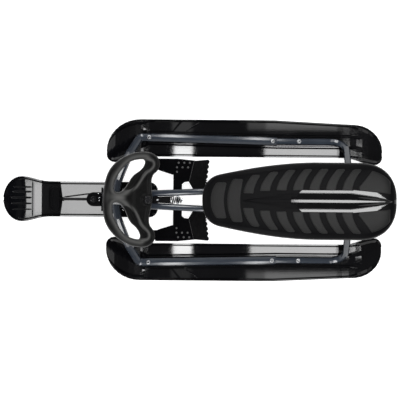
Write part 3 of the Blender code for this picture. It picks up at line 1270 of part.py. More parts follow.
def build_line(centre, mouth, handle_rear):
    """The thick line from the reel's mouth to the handle, and the thin strand beside it."""
    nose = centre - REEL_HALF_WIDTH
    steps = 10
    start, end = handle_rear + GAP, nose + REEL_HALF_WIDTH * 0.15
    line = [(start + (end - start) * i / steps, 0, mouth) for i in range(steps + 1)]
    finish(tube("tow_cord", line, TOW_RADIUS, 2), "nylon")
    edge = centre - math.sqrt(REEL_HALF_WIDTH ** 2 - (STRAND_Y - STRAND_RADIUS) ** 2) - GAP
    begin = Vector((handle_rear + 0.005, TOW_RADIUS + STRAND_RADIUS + GAP, mouth))
    finish_point = Vector((edge - STRAND_RADIUS * 0.15, STRAND_Y, mouth))
    strand = [begin + (finish_point - begin) * (i / steps) for i in range(steps + 1)]
    finish(tube("tow_strand", strand, STRAND_RADIUS, 2), "nylon")


def build_sled():
    build_head()
    for label, side in SIDES.items():
        build_front_tube("front_tube_" + label, side)
        build_spine("spine_tube_" + label, side)
        build_rear_ski("rear_ski_" + label, side)
        build_ski_bolts(label, side)
        build_brake_bracket("brake_bracket_" + label, side)
        build_brake_plate("brake_plate_" + label, side)
    build_hoop()
    build_axle()
    build_spring(build_spring_block())
    build_seat()
    build_saddles()
    build_column()
    build_wheel()
    build_front_ski()
    build_bracket()
    centre, mouth = build_reel()
    build_line(centre, mouth, build_handle(mouth))


build_sled()
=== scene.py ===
"""A steering sled seen from straight above: tube frame, three skis, foot brake, seat, wheel and tow line.

The nose points along -X, the left side is +Y and +Z is up. Sizes are in metres unless a name says mm.
"""
import math

import bmesh
import bpy
import numpy as np
from mathutils import Matrix, Vector, kdtree


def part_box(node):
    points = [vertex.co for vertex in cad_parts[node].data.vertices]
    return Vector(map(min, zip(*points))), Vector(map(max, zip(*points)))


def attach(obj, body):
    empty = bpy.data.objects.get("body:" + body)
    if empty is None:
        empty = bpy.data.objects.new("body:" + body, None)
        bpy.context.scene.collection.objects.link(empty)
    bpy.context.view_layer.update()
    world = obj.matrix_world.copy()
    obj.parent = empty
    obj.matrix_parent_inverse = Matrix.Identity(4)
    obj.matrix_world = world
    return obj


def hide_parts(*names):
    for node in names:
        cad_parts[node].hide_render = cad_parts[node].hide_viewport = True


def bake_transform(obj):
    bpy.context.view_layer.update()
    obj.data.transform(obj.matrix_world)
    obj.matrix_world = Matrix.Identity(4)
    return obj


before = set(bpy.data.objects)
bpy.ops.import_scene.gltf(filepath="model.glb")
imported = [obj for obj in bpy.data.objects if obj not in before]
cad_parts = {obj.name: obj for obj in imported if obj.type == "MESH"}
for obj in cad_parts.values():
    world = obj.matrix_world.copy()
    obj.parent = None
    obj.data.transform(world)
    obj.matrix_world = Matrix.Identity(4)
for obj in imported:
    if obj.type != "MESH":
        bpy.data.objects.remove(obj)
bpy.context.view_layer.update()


# The camera hangs straight over the sled, far enough for little perspective. The picture is square,
# 3.075 mm of floor wide a pixel, and the sled lies turned by half a degree in it.
CAMERA_HEIGHT = 3.5
CAMERA_X = 0.009
CAMERA_Y = 0.0005
FLOOR_PER_PIXEL = 0.003075
IMAGE_PIXELS = 400
SENSOR = 36.0
CAMERA_TURN = math.radians(0.5)


def put_in_scene(name, data):
    """A new object in the scene that shows a mesh, a lamp or a camera."""
    made = bpy.data.objects.new(name, data)
    bpy.context.scene.collection.objects.link(made)
    return made


lens = bpy.data.cameras.new("camera")
lens.sensor_width = SENSOR
lens.lens = SENSOR * CAMERA_HEIGHT / (IMAGE_PIXELS * FLOOR_PER_PIXEL)
lens.clip_end = 60.0
camera = put_in_scene("camera", lens)
camera.location = (CAMERA_X, CAMERA_Y, CAMERA_HEIGHT)
camera.rotation_euler = (0.0, 0.0, CAMERA_TURN)
bpy.context.scene.camera = camera


# The tow line is a braided polyester cord, black and a little fuzzy, pulled taut between the reel's mouth
# and the handle's boss. A thinner strand of the same line runs beside it to the reel's shoulder.
LINE_RADIUS = 0.0043
STRAND_RADIUS = 0.0020
LINE_HEIGHT = 0.0248
LINE_ENDS = (-0.4093, -0.3326)
STRAND_PATH = ((-0.4046, 0.0066), (-0.3302, 0.0170))
BRAID_DEPTH = 0.00028
BRAID_PITCH = 0.0085
LINE_POINTS = 25


def linear(code):
    """Turn an sRGB hex colour into the linear values that Blender takes."""
    parts = [int(code[i:i + 2], 16) / 255 for i in (0, 2, 4)]
    return tuple(v / 12.92 if v <= 0.04045 else ((v + 0.055) / 1.055) ** 2.4 for v in parts) + (1.0,)


def add(nodes, kind, inputs=None, **settings):
    """Add one node; each input takes a plain value or is linked where it is given another's output."""
    node = nodes.new(kind)
    for name, value in settings.items():
        setattr(node, name, value)
    for name, value in (inputs or {}).items():
        if isinstance(value, bpy.types.NodeSocket):
            nodes.id_data.links.new(value, node.inputs[name])
        else:
            node.inputs[name].default_value = value
    return node


def ramp(nodes, value, low, high, start=0.0, end=1.0):
    """A value that rises from start to end while the given one goes from low to high."""
    return add(nodes, "ShaderNodeMapRange", {"Value": value, "From Min": low, "From Max": high,
                                             "To Min": start, "To Max": end}).outputs[0]


def moulded(name, colours, roughness, cloud_mm, grain_mm, grain_depth_mm, specular=0.5, metallic=0.0,
            **shader):
    """A material whose colour and gloss drift between two values with a cloud, over a fine surface grain.

    Sizes are in mm on the object. Returns the material, its nodes, the mm coordinates and the shader.
    """
    material = bpy.data.materials.new(name)
    material.use_nodes = True
    nodes = material.node_tree.nodes
    nodes.clear()
    place = add(nodes, "ShaderNodeTexCoord")
    mm = add(nodes, "ShaderNodeMapping", {"Vector": place.outputs["Object"], "Scale": (1000, 1000, 1000)})
    cloud = add(nodes, "ShaderNodeTexNoise", {"Vector": mm.outputs[0], "Scale": 1 / cloud_mm,
                                              "Detail": 5.0, "Roughness": 0.62})
    spread = ramp(nodes, cloud.outputs["Fac"], 0.30, 0.70)
    tint = add(nodes, "ShaderNodeMix", {0: spread, 6: linear(colours[0]), 7: linear(colours[1])},
               data_type="RGBA")
    gloss = ramp(nodes, cloud.outputs["Fac"], 0.32, 0.68, *roughness)
    grain = add(nodes, "ShaderNodeTexNoise", {"Vector": mm.outputs[0], "Scale": 1 / grain_mm, "Detail": 3.0})
    bump = add(nodes, "ShaderNodeBump", {"Height": grain.outputs["Fac"], "Strength": 0.6,
                                         "Distance": grain_depth_mm / 1000})
    bsdf = add(nodes, "ShaderNodeBsdfPrincipled", {"Base Color": tint.outputs[2], "Roughness": gloss,
                                                   "Normal": bump.outputs[0], "Metallic": metallic,
                                                   "Specular IOR Level": specular, **shader})
    add(nodes, "ShaderNodeOutputMaterial", {"Surface": bsdf.outputs[0]})
    return material, nodes, mm, bsdf


def outward(points, faces):
    """Turn the faces of a closed body over where its signed volume comes out negative.

    Each face counts as two triangles, the second of them empty where the face has three corners.
    """
    points = np.asarray(points, dtype=float)
    a, b, c, d = (points[[face[k] for face in faces]] for k in (0, 1, 2, -1))
    volume = (a * (np.cross(b, c) + np.cross(c, d))).sum()
    return points, [tuple(reversed(face)) for face in faces] if volume < 0 else faces


def ring_quads(count, sides, hoop=False):
    """Faces between each ring of points and the next; in a hoop the last ring joins the first."""
    row, side = np.meshgrid(np.arange(count if hoop else count - 1), np.arange(sides), indexing="ij")
    onward, after = (row + 1) % count, (side + 1) % sides
    quads = np.stack([row * sides + side, row * sides + after, onward * sides + after,
                      onward * sides + side], axis=-1)
    return [tuple(map(int, quad)) for quad in quads.reshape(-1, 4)]


def loft(rings):
    """A closed body through closed rings of equal count, its two ends drawn together at their middles."""
    rings = np.asarray(rings, dtype=float)
    count, sides = rings.shape[:2]
    first, last = count * sides, count * sides + 1
    ends = [(k, first, (k + 1) % sides) for k in range(sides)]
    start = (count - 1) * sides
    ends += [(start + (k + 1) % sides, last, start + k) for k in range(sides)]
    points = np.concatenate([rings.reshape(-1, 3), [rings[0].mean(axis=0)], [rings[-1].mean(axis=0)]])
    return outward(points, ring_quads(count, sides) + ends)


def smooth(mesh, crisp):
    """Shade a mesh smooth, apart from edges that are sharper than an angle in degrees."""
    mesh.polygons.foreach_set("use_smooth", np.ones(len(mesh.polygons), dtype=bool))
    mesh.set_sharp_from_angle(angle=math.radians(crisp))


def piece(name, bodies, material, body, crisp=40.0):
    """Join closed bodies into one smooth object that rides on a body of the frame."""
    points, faces, start = [], [], 0
    for body_points, body_faces in bodies:
        points.append(np.asarray(body_points, dtype=float))
        faces += [tuple(index + start for index in face) for face in body_faces]
        start += len(body_points)
    mesh = bpy.data.meshes.new(name)
    mesh.from_pydata(np.concatenate(points).tolist(), [], faces)
    smooth(mesh, crisp)
    mesh.materials.append(material)
    made = put_in_scene(name, mesh)
    if body:
        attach(made, body)
    return made


def braided(path, radius):
    """Rings round a straight path, raised where the sheath's two sets of yarns cross over.

    With a turned by angle and s along the path, the yarns rise as |sin(4a + ks) sin(4a - ks)| * depth.
    """
    path = np.asarray(path, dtype=float)
    length = np.linalg.norm(path[-1] - path[0])
    along = (path[-1] - path[0]) / length
    across = np.cross((0, 0, 1.0), along)
    across /= np.linalg.norm(across)
    upright = np.cross(along, across)
    stations = max(int(length / 0.0006), 40)
    s = np.linspace(0.0, length, stations)[:, None]
    a = np.linspace(0.0, 2 * np.pi, 40, endpoint=False)[None, :]
    k = 2 * np.pi / BRAID_PITCH
    rise = np.abs(np.sin(4 * a + k * s) * np.sin(4 * a - k * s))
    reach = (radius - BRAID_DEPTH + BRAID_DEPTH * rise)[..., None]
    spoke = np.cos(a)[..., None] * across + np.sin(a)[..., None] * upright
    return path[0] + s[..., None] * along + reach * spoke


# Polyester yarn: matt, with a soft pale sheen from its loose fibres
yarn, *_ = moulded("polyester_cord", ("0A0A0B", "171719"), (0.62, 0.8), 3.0, 0.35, 0.12,
                   **{"Sheen Weight": 0.2, "Sheen Roughness": 0.4})
line_path = np.linspace((LINE_ENDS[0], 0, LINE_HEIGHT), (LINE_ENDS[1], 0, LINE_HEIGHT), LINE_POINTS)
tow_line = piece("tow_line", [loft(braided(line_path, LINE_RADIUS))], yarn, None)
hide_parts("tow_cord")
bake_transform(tow_line)

ends = np.array([[*STRAND_PATH[0], LINE_HEIGHT], [*STRAND_PATH[1], LINE_HEIGHT]])
strand_path = np.linspace(ends[0], ends[1], LINE_POINTS)
strand = piece("tow_line_strand", [loft(braided(strand_path, STRAND_RADIUS))], yarn, None)
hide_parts("tow_strand")
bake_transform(strand)


# The studio is a pale floor with a pale wall far round it, under a dim sky. One wide lamp gives the even
# light, and panels round and over the sled are what its glossy skis, tubes and seat mirror.
FLOOR_REACH = 10.0
FLOOR_RINGS = 26
FLOOR_SIDES = 96
WALL_HEIGHT = 2.7
SKY_LEVEL = 0.08
FILL_HEIGHT = 4.8
FILL_SIZE = 3.4
FILL_LEVEL = 9.5
FLOOR_GLOW = 0.72
SIDE_PANELS = ((-0.150, -0.045), (0.280, 0.372))
SIDE_REACH = 1.9
SIDE_HEIGHT = 1.45
SIDE_SIZE = 1.0
SIDE_LEVEL = 16.0


def maths(nodes, operation, *values):
    """The result of one sum, such as MULTIPLY, on numbers or other nodes' outputs."""
    return add(nodes, "ShaderNodeMath", dict(enumerate(values)), operation=operation).outputs[0]


bpy.context.scene.view_settings.view_transform = "Standard"
# The last two rings are the wall, which stands just past the floor's edge
turn = np.linspace(0.0, 2 * np.pi, FLOOR_SIDES, endpoint=False)
reach = np.concatenate([np.linspace(0.001, FLOOR_REACH, FLOOR_RINGS - 2), [FLOOR_REACH * 1.02] * 2])
level = np.concatenate([np.zeros(FLOOR_RINGS - 2), [WALL_HEIGHT * 0.05, WALL_HEIGHT]])
places = np.stack([np.outer(reach, np.cos(turn)), np.outer(reach, np.sin(turn)),
                   np.repeat(level[:, None], FLOOR_SIDES, axis=1)], axis=-1).reshape(-1, 3)
mesh = bpy.data.meshes.new("studio_floor")
mesh.from_pydata(places.tolist(), [], [quad[::-1] for quad in ring_quads(FLOOR_RINGS, FLOOR_SIDES)])
studio = put_in_scene("studio_floor", mesh)
# Matt white paper: it keeps the sled's soft shadow, and to the eye and in reflections it is near white
paper = bpy.data.materials.new("matt_paper")
paper.use_nodes = True
nodes = paper.node_tree.nodes
nodes.clear()
ray = add(nodes, "ShaderNodeLightPath")
seen = maths(nodes, "MAXIMUM", ray.outputs["Is Camera Ray"], ray.outputs["Is Glossy Ray"])
seen = maths(nodes, "MAXIMUM", seen, ray.outputs["Is Transmission Ray"])
lit = maths(nodes, "MULTIPLY", seen, FLOOR_GLOW)
sheet = add(nodes, "ShaderNodeBsdfDiffuse", {"Color": linear("BEBEBE")})
glow = add(nodes, "ShaderNodeEmission", {"Color": (1, 1, 1, 1), "Strength": lit})
both = add(nodes, "ShaderNodeAddShader", {0: sheet.outputs[0], 1: glow.outputs[0]})
add(nodes, "ShaderNodeOutputMaterial", {"Surface": both.outputs[0]})
mesh.materials.append(paper)

world = bpy.data.worlds.new("studio_sky")
world.use_nodes = True
sky = world.node_tree.nodes["Background"]
sky.inputs["Color"].default_value = (1, 1, 1, 1)
sky.inputs["Strength"].default_value = SKY_LEVEL
bpy.context.scene.world = world


def lamp(name, centre, size, level, aim):
    """A flat panel of light of a given brightness, turned to face a point."""
    light = bpy.data.lights.new(name, "AREA")
    light.shape = "RECTANGLE"
    light.size, light.size_y = size
    light.energy = math.pi * size[0] * size[1] * level
    panel = put_in_scene(name, light)
    panel.location = centre
    panel.rotation_euler = (Vector(centre) - Vector(aim)).to_track_quat("Z", "Y").to_euler()
    return panel


fill = lamp("fill_lamp", (0.0, 0.0, FILL_HEIGHT), (FILL_SIZE, FILL_SIZE), FILL_LEVEL, (0.0, 0.0, 0.0))
fill.visible_glossy = False
# Overhead panels, which the flat skis, deck and seat mirror: low x, high x, low y, high y, height, level
OVERHEAD = {
    "front_ski_panel": (-0.98, -0.40, -0.16, 0.16, 4.5, 12.5),
    "keel_panel": (0.490, 0.555, -0.006, 0.006, 3.6, 16.0),
    "seat_panel": (0.555, 1.300, -0.120, 0.120, 3.6, 13.5),
    "nose_panel": (1.300, 2.550, -0.140, 0.140, 3.6, 10.0),
    "ski_panel_front_left": (-0.185, -0.055, 0.300, 0.385, 4.5, 22.0),
    "ski_panel_front_right": (-0.185, -0.055, -0.385, -0.300, 4.5, 22.0),
    "ski_panel_rear_left": (0.450, 0.99, 0.300, 0.385, 4.5, 12.0),
    "ski_panel_rear_right": (0.355, 0.99, -0.385, -0.290, 4.5, 12.0),
    "wedge_panel_left": (-0.200, -0.060, 0.470, 0.560, 4.5, 0.8),
    "wedge_panel_right": (-0.200, -0.060, -0.560, -0.480, 4.5, 0.4),
    "tail_fade_left": (0.33, 0.46, 0.500, 0.570, 4.5, 1.1),
    "tail_fade_right": (0.33, 0.46, -0.575, -0.500, 4.5, 1.8),
    "tail_panel_left": (0.46, 0.98, 0.500, 0.570, 4.5, 2.4),
    "tail_panel_right": (0.46, 1.02, -0.575, -0.500, 4.5, 3.4),
}
for name, (low_x, high_x, low_y, high_y, height, level) in OVERHEAD.items():
    centre = (CAMERA_X + (low_x + high_x) / 2, (low_y + high_y) / 2, height)
    lamp(name, centre, (high_x - low_x, high_y - low_y), level, (centre[0], centre[1], 0.0))
lamp("seat_front_panel", (-3.0, 0.0, 2.6), (0.5, 0.7), 9.0, (0.05, 0.0, 0.2))
# Side panels stand past both rear skis, and draw the bright lines along the tubes
for side in (1, -1):
    for low_x, high_x in SIDE_PANELS:
        middle = CAMERA_X + (low_x + high_x) / 2
        lamp("side_panel", (middle, side * SIDE_REACH, SIDE_HEIGHT), (high_x - low_x, SIDE_SIZE), SIDE_LEVEL,
             (middle, 0.0, 0.03))


# The frame is round steel tube, powder-coated slate grey: a head tube, two spine tubes, and front tubes
# that lie along the rear skis as sleeves for the hoop. Weld beads run round the spine tubes' ends.
SPINE_FRONT = (-0.2215, 0.0144, 0.1534)
SPINE_END = (0.4455, 0.0448, 0.165)
SPINE_RADIUS = 0.0095
SPINE_WELDS = (0.0165, 0.0100)
WELD_RADIUS = 0.0022
WELD_RIPPLE = 0.16
SLEEVE_END = (0.2405, 0.1815, 0.0223)
LIP_REACH = 0.0117
LIP_RADIUS = 0.0012


def coat(material, *names):
    """Give CAD bodies a finish of their own; their meshes stay as they are."""
    for name in names:
        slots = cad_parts[name].data.materials
        slots.clear()
        slots.append(material)


def rounded_bead(points, radius, closed=True, sides=10, ripple=0.0):
    """Rings of a bead along a line or a loop of points, its size rippled as a weld's puddle leaves it."""
    points = np.asarray(points, dtype=float)
    count = len(points)
    ahead = np.roll(points, -1, axis=0) - np.roll(points, 1, axis=0)
    if not closed:
        ahead[0], ahead[-1] = points[1] - points[0], points[-1] - points[-2]
    ahead /= np.linalg.norm(ahead, axis=1, keepdims=True)
    guide = np.where(np.abs(ahead[:, 2:3]) > 0.9, [[1.0, 0.0, 0.0]], [[0.0, 0.0, 1.0]])
    across = np.cross(guide, ahead)
    across /= np.linalg.norm(across, axis=1, keepdims=True)
    upright = np.cross(ahead, across)
    angle = np.linspace(0, 2 * np.pi, sides, endpoint=False)[None, :, None]
    size = radius * (1 + ripple * np.sin(np.arange(count) * 1.9))[:, None, None]
    return points[:, None] + size * (np.cos(angle) * across[:, None] + np.sin(angle) * upright[:, None])


def hoop_loft(rings):
    """A closed ring of rings, such as a bead that runs right round a tube."""
    return outward(rings.reshape(-1, 3), ring_quads(*rings.shape[:2], hoop=True))


def circle(centre, axis, radius, count=40):
    """Points of a circle round an axis of unit length, which may not point to the side."""
    first = np.cross(axis, (0.0, 1.0, 0.0))
    first /= np.linalg.norm(first)
    second = np.cross(axis, first)
    angle = np.linspace(0, 2 * np.pi, count, endpoint=False)[:, None]
    return np.asarray(centre) + radius * (np.cos(angle) * first + np.sin(angle) * second)


# Slate powder coat: semi-gloss with an orange-peel skin that breaks its highlights up
lacquer, *_ = moulded("slate_powder_coat", ("262A31", "2B3037"), (0.09, 0.13), 60.0, 1.4, 0.002)
coat(lacquer, "head_tube", "spine_tube_left", "spine_tube_right", "front_tube_left", "front_tube_right",
     "rear_hoop", "brake_bracket_left", "brake_bracket_right")
beads = []
for side in (1, -1):
    head, tail = np.array([SPINE_FRONT, SPINE_END]) * (1, side, 1)
    spine = (tail - head) / np.linalg.norm(tail - head)
    for centre in (head + SPINE_WELDS[0] * spine, tail - SPINE_WELDS[1] * spine):
        seam = circle(centre, spine, SPINE_RADIUS)
        beads.append(hoop_loft(rounded_bead(seam, WELD_RADIUS, ripple=WELD_RIPPLE)))
    # The rolled lip at the sleeve's end, where the hoop plugs in
    lip = circle(np.array(SLEEVE_END) * (1, side, 1), (1, 0, 0), LIP_REACH)
    beads.append(hoop_loft(rounded_bead(lip, LIP_RADIUS)))
piece("frame_welds", beads, lacquer, "frame", crisp=80)

# White acetal bushes stand out of the head tube's ends, and the reel's spool is acetal too; black collars
# clamp the column against the bushes
acetal, *_ = moulded("acetal_bushing", ("B9B8B2", "C9C8C3"), (0.35, 0.5), 6.0, 0.5, 0.02)
coat(acetal, "bush_upper", "bush_lower", "reel_spool")
collar, *_ = moulded("oxide_black_steel", ("131314", "1E1E20"), (0.28, 0.45), 5.0, 0.4, 0.02, metallic=0.6)
coat(collar, "collar_upper", "collar_lower")


# Each rear ski is one piece of glossy black polyethylene: two flanges beside a trough that takes the tube,
# curled up at both ends. A low wedge stands on the outer flange and the tail is finely ribbed.
SKI_WALL = 0.0055
WEDGE = ((0.0133, 0.2400), (-0.0371, 0.2085), (-0.0802, 0.2085), (-0.0560, 0.2400))
WEDGE_SPAN = 0.045
WEDGE_SLOPE = 0.004
WEDGE_RISE = 0.0013
WEDGE_SINK = 0.002
TAIL_RIB_MM = 2.6
TAIL_RIBS_FROM_MM = (425.0, 450.0)
SCOURED_FRONT_MM = (-145.0, -151.0)
SCOURED_TAIL_MM = (435.0, 455.0)
SCOURED_TAIL_SHARE = 0.65
SCOURED_ROUGHNESS = 0.11


def grid_quads(index):
    """Faces between neighbours in a grid of point numbers."""
    return np.stack([index[:-1, :-1], index[1:, :-1], index[1:, 1:], index[:-1, 1:]], axis=-1)


def slab(upper, lower):
    """A closed body between two sheets of points that have the same rows and columns."""
    upper, lower = np.asarray(upper, dtype=float), np.asarray(lower, dtype=float)
    rows, columns = upper.shape[:2]
    index = np.arange(rows * columns).reshape(rows, columns)
    quads = grid_quads(index).reshape(-1, 4)
    rim = np.concatenate([index[0, :-1], index[:-1, -1], index[-1, :0:-1], index[:0:-1, 0]])
    onward = np.roll(rim, -1)
    size = rows * columns
    sides = np.stack([rim, onward, onward + size, rim + size], axis=-1)
    faces = np.concatenate([quads, quads[:, ::-1] + size, sides])
    return outward(np.concatenate([upper.reshape(-1, 3), lower.reshape(-1, 3)]),
                   [tuple(map(int, face)) for face in faces])


def ease(value, start=0.0, run=1.0):
    """A smooth step s * s * (3 - 2s), where s grows from 0 at the start to 1 at the end of the run."""
    s = np.clip((value - start) / run, 0.0, 1.0)
    return s * s * (3 - 2 * s)


def wedge(side, steps=24):
    """A low wedge on a ski's outer flange, between four corners given in plan.

    Its height is rise * ease(d/slope) at a distance d from the nearer of its two slanted edges.
    """
    a, b, c, d = np.array(WEDGE)
    u, v = np.meshgrid(np.linspace(0.0, 1.0, steps), np.linspace(0.0, 1.0, steps), indexing="ij")
    u, v = u[..., None], v[..., None]
    plan = (a * (1 - u) + b * u) * (1 - v) + (d * (1 - u) + c * u) * v
    plan = plan * (1, side)
    high = SKI_WALL + WEDGE_RISE * ease(WEDGE_SPAN * np.minimum(v, 1 - v), 0.0, WEDGE_SLOPE)
    foot = np.full_like(high, SKI_WALL - WEDGE_SINK)
    return slab(np.concatenate([plan, high], axis=-1), np.concatenate([plan, foot], axis=-1))


def bump_over(nodes, bsdf, height, strength, distance):
    """Lay one more bump over a surface's own."""
    bump = add(nodes, "ShaderNodeBump", {"Height": height, "Strength": strength, "Distance": distance,
                                         "Normal": bsdf.inputs["Normal"].links[0].from_socket})
    nodes.id_data.links.new(bump.outputs[0], bsdf.inputs["Normal"])


# Blow-moulded polyethylene: near black, mirror bright where new, with faint drag lines along the ski
ski_plastic, nodes, mm, bsdf = moulded("gloss_polyethylene", ("050506", "08080A"), (0.02, 0.035), 120.0, 0.9,
                                       0.0004)
along = add(nodes, "ShaderNodeMapping", {"Vector": mm.outputs[0], "Scale": (0.004, 0.9, 0.02)})
drag = add(nodes, "ShaderNodeTexNoise", {"Vector": along.outputs[0], "Scale": 1.0, "Detail": 2.0})
axes = add(nodes, "ShaderNodeSeparateXYZ", {"Vector": mm.outputs[0]})
wave = maths(nodes, "SINE", maths(nodes, "MULTIPLY", axes.outputs["X"], 2 * math.pi / TAIL_RIB_MM))
tail = ramp(nodes, axes.outputs["X"], *TAIL_RIBS_FROM_MM)
lines = maths(nodes, "MULTIPLY", drag.outputs["Fac"], 0.35)
relief = maths(nodes, "ADD", maths(nodes, "MULTIPLY", wave, tail), lines)
bump_over(nodes, bsdf, relief, 0.35, 0.00004)
# Snow has scoured both curled fronts duller, and the left tail a little
front = ramp(nodes, axes.outputs["X"], *SCOURED_FRONT_MM)
back = ramp(nodes, axes.outputs["X"], *SCOURED_TAIL_MM, end=SCOURED_TAIL_SHARE)
back = maths(nodes, "MULTIPLY", back, maths(nodes, "GREATER_THAN", axes.outputs["Y"], 0.0))
scoured = add(nodes, "ShaderNodeMix", {0: maths(nodes, "MAXIMUM", front, back), 3: SCOURED_ROUGHNESS,
                                       2: bsdf.inputs["Roughness"].links[0].from_socket})
nodes.id_data.links.new(scoured.outputs[0], bsdf.inputs["Roughness"])
coat(ski_plastic, "rear_ski_left", "rear_ski_right")
piece("rear_ski_wedges", [wedge(side) for side in (1, -1)], ski_plastic, "frame")


# Every visible fastener is zinc-plated steel, and so is the steering column: domed socket bolts through the
# tubes into the skis, bolts under the seat, small screws on the bracket and reel, a nut in the hub, the
# pivot pin and the brake's axle.
BOLTS = {"ski_bolt_front": (-0.1475, 0.19035, 0.0381), "sleeve_bolt": (0.2295, 0.18178, 0.0381),
         "ski_bolt_rear": (0.3095, 0.1815, 0.0356)}
SOCKET_RADIUS = 0.0026


def lathe(profile, centre=(0, 0, 0), sides=40, matrix=None):
    """A body turned round the upright axis from (radius, height) pairs that start and end on it."""
    profile = np.asarray(profile, dtype=float)
    angle = np.linspace(0, 2 * np.pi, sides, endpoint=False)
    inner = profile[1:-1] if profile[0][0] == 0 else profile
    rings = np.stack([np.outer(inner[:, 0], np.cos(angle)), np.outer(inner[:, 0], np.sin(angle)),
                      np.repeat(inner[:, 1:2], sides, axis=1)], axis=-1)
    if profile[0][0] == 0:
        points, faces = loft(rings)
        points[-2], points[-1] = (0, 0, profile[0][1]), (0, 0, profile[-1][1])
    else:
        points, faces = hoop_loft(rings)
    if matrix is not None:
        points = points @ np.array(matrix.to_3x3()).T + np.array(matrix.translation)
    return points + np.asarray(centre, dtype=float), faces


# Zinc plate is bright silver-grey with soft cloudy marks; a dark dull disc on each head is painted shade for
# its socket
zinc, *_ = moulded("zinc_plated_steel", ("A3A5A8", "C6C8CB"), (0.18, 0.34), 2.5, 0.3, 0.012, metallic=1.0)
dark, *_ = moulded("socket_shadow_steel", ("101010", "1C1C1C"), (0.4, 0.6), 1.0, 0.2, 0.01, metallic=0.8)
coat(zinc, "pivot_pin", "brake_axle", "push_nut_left", "push_nut_right", "wheel_nut", "steering_column",
     "spring_block_screw", *(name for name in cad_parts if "bolt" in name or "_screw_" in name))
washers, socket_shades = [], []
for x, y, z in BOLTS.values():
    for side in (1, -1):
        place = (x, side * y, z)
        washers.append(lathe([(0.0041, -0.0002), (0.0046, 0.0004), (0.0040, 0.0007), (0.0030, 0.0005),
                              (0.0030, -0.0002)], place, 32))
        socket_shades.append(lathe([(0, -0.0010), (SOCKET_RADIUS, -0.0010), (SOCKET_RADIUS, 0.00015),
                              (SOCKET_RADIUS * 0.86, 0.00010), (0, -0.00005)], place, 6))
piece("bolt_head_rings", washers, zinc, "frame")
piece("bolt_socket_shades", socket_shades, dark, "frame", crisp=25)


# The foot brake is two moulded plates of matt black nylon on a steel axle, with seven grip studs each and
# teeth that bite the snow. A wire spring in a block between the spine tubes pulls its tab back.
AXLE_X = -0.0570
PAD_TOP = 0.1310
PAD_HALF = 0.1222
STUD_PITCH = 0.0165
STUD_START = (0.002, 0.012)
STUD_ROW = 0.0135
STUD_ROWS = ((0.0, 3), (-0.3, 3), (-0.3, 1))
STUD_RADIUS = 0.0028
CREASE = ((-0.0090, 0.1160), (-0.0233, 0.0560))
CREASE_RADIUS = 0.0006
SPRING_START = -0.0757
SPRING_END = -0.0460
SPRING_COIL = 0.0090
SPRING_HEIGHT = 0.148
SPRING_WIRE = 0.0012
SPRING_TURNS = 5.0
SPRING_POINTS = 260

# Glass-filled nylon: dead matt and finely sparked; the studs and crease edges are a lighter grey, a painted
# highlight
brake_plastic, *_ = moulded("matt_filled_nylon", ("020203", "050506"), (0.60, 0.80), 9.0, 0.7, 0.08,
                            specular=0.03)
painted_highlight_plastic, *_ = moulded("painted_highlight_nylon", ("2C2C2D", "484848"), (0.35, 0.5), 2.0, 0.5, 0.04, specular=0.3)
coat(brake_plastic, "brake_plate_left", "brake_plate_right")
# The block is plain nylon, a shade smoother than the plates
block_plastic, *_ = moulded("satin_block_nylon", ("060607", "0B0B0C"), (0.4, 0.55), 7.0, 0.6, 0.04,
                            specular=0.06)
coat(block_plastic, "spring_block")

# Each row of studs has its first place, in pitches behind the axle, and its number of studs
studs = []
for side in (1, -1):
    for row, (first, count) in enumerate(STUD_ROWS):
        for column in range(count):
            x = AXLE_X + STUD_PITCH * (first + column) + STUD_START[0]
            y = side * (PAD_HALF - STUD_START[1] - STUD_ROW * row)
            studs.append(lathe([(0, -0.001), (STUD_RADIUS + 0.0003, -0.001), (STUD_RADIUS + 0.0003, 0.0003),
                                (STUD_RADIUS, 0.0010), (STUD_RADIUS * 0.8, 0.0016),
                                (STUD_RADIUS * 0.5, 0.0017), (0, 0.0015)], (x, y, PAD_TOP), 20))
piece("brake_stud_caps", studs, painted_highlight_plastic, "brake")
creases = []
for side in (1, -1):
    start, end = ((x, side * y, PAD_TOP - 0.0001) for x, y in CREASE)
    creases.append(loft(rounded_bead(np.linspace(start, end, 24), CREASE_RADIUS, closed=False, sides=8)))
piece("brake_crease_edges", creases, painted_highlight_plastic, "brake")

# Spring wire: oiled drawn steel, dark grey with a narrow shine
spring_steel, *_ = moulded("drawn_spring_steel", ("2E2F31", "45464A"), (0.25, 0.38), 1.5, 0.2, 0.01,
                           metallic=1.0)
turns = np.linspace(-2 * np.pi * SPRING_TURNS, 0.0, SPRING_POINTS) - np.pi / 2
wire = np.stack([np.linspace(SPRING_START, SPRING_END, SPRING_POINTS), SPRING_COIL * np.cos(turns),
                 SPRING_HEIGHT + SPRING_COIL * np.sin(turns)], axis=-1)
spring = piece("return_spring", [loft(rounded_bead(wire, SPRING_WIRE, closed=False, sides=12))], spring_steel,
               None)
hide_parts("brake_spring")
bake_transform(spring)


# The seat is one blow-moulded shell of satin black polyethylene: a long wedge with rounded ends, a keel
# along the middle of its rear, and grained grip pads that stand slightly proud. Two saddles carry it.
SEAT_FRONT_X = 0.0155
SEAT_LENGTH = 0.5630
SEAT_HALF = (0.0645, 0.112)
SEAT_TAPER = 0.338
SEAT_ROUNDS = (0.053, 0.115)
SEAT_POWERS = (2.5, 2.4)
SEAT_BOTTOM = 0.182
SEAT_THICKNESS = 0.046
SEAT_FRONT_SHARE = 0.80
SEAT_SWELL = 0.16
SEAT_KICK = 0.003
SEAT_KICK_RUN = (0.40, 0.12)
SEAT_END_SHARE = 0.45
SEAT_CROWN = 0.13
TOP_SHARE = 0.84
KEEL_RISE = 0.009
KEEL_HALF = 0.0225
KEEL_FLAT = 0.18
KEEL_ENDS = (0.119, 0.253, 0.017, 0.135)
PAD_RISE = 0.0016
PAD_SINK = 0.0004
PAD_FOOT = 0.0030
PAD_PITCH = 0.0473
PAD_EDGE = 0.0022
PAD_MARGIN = 0.019
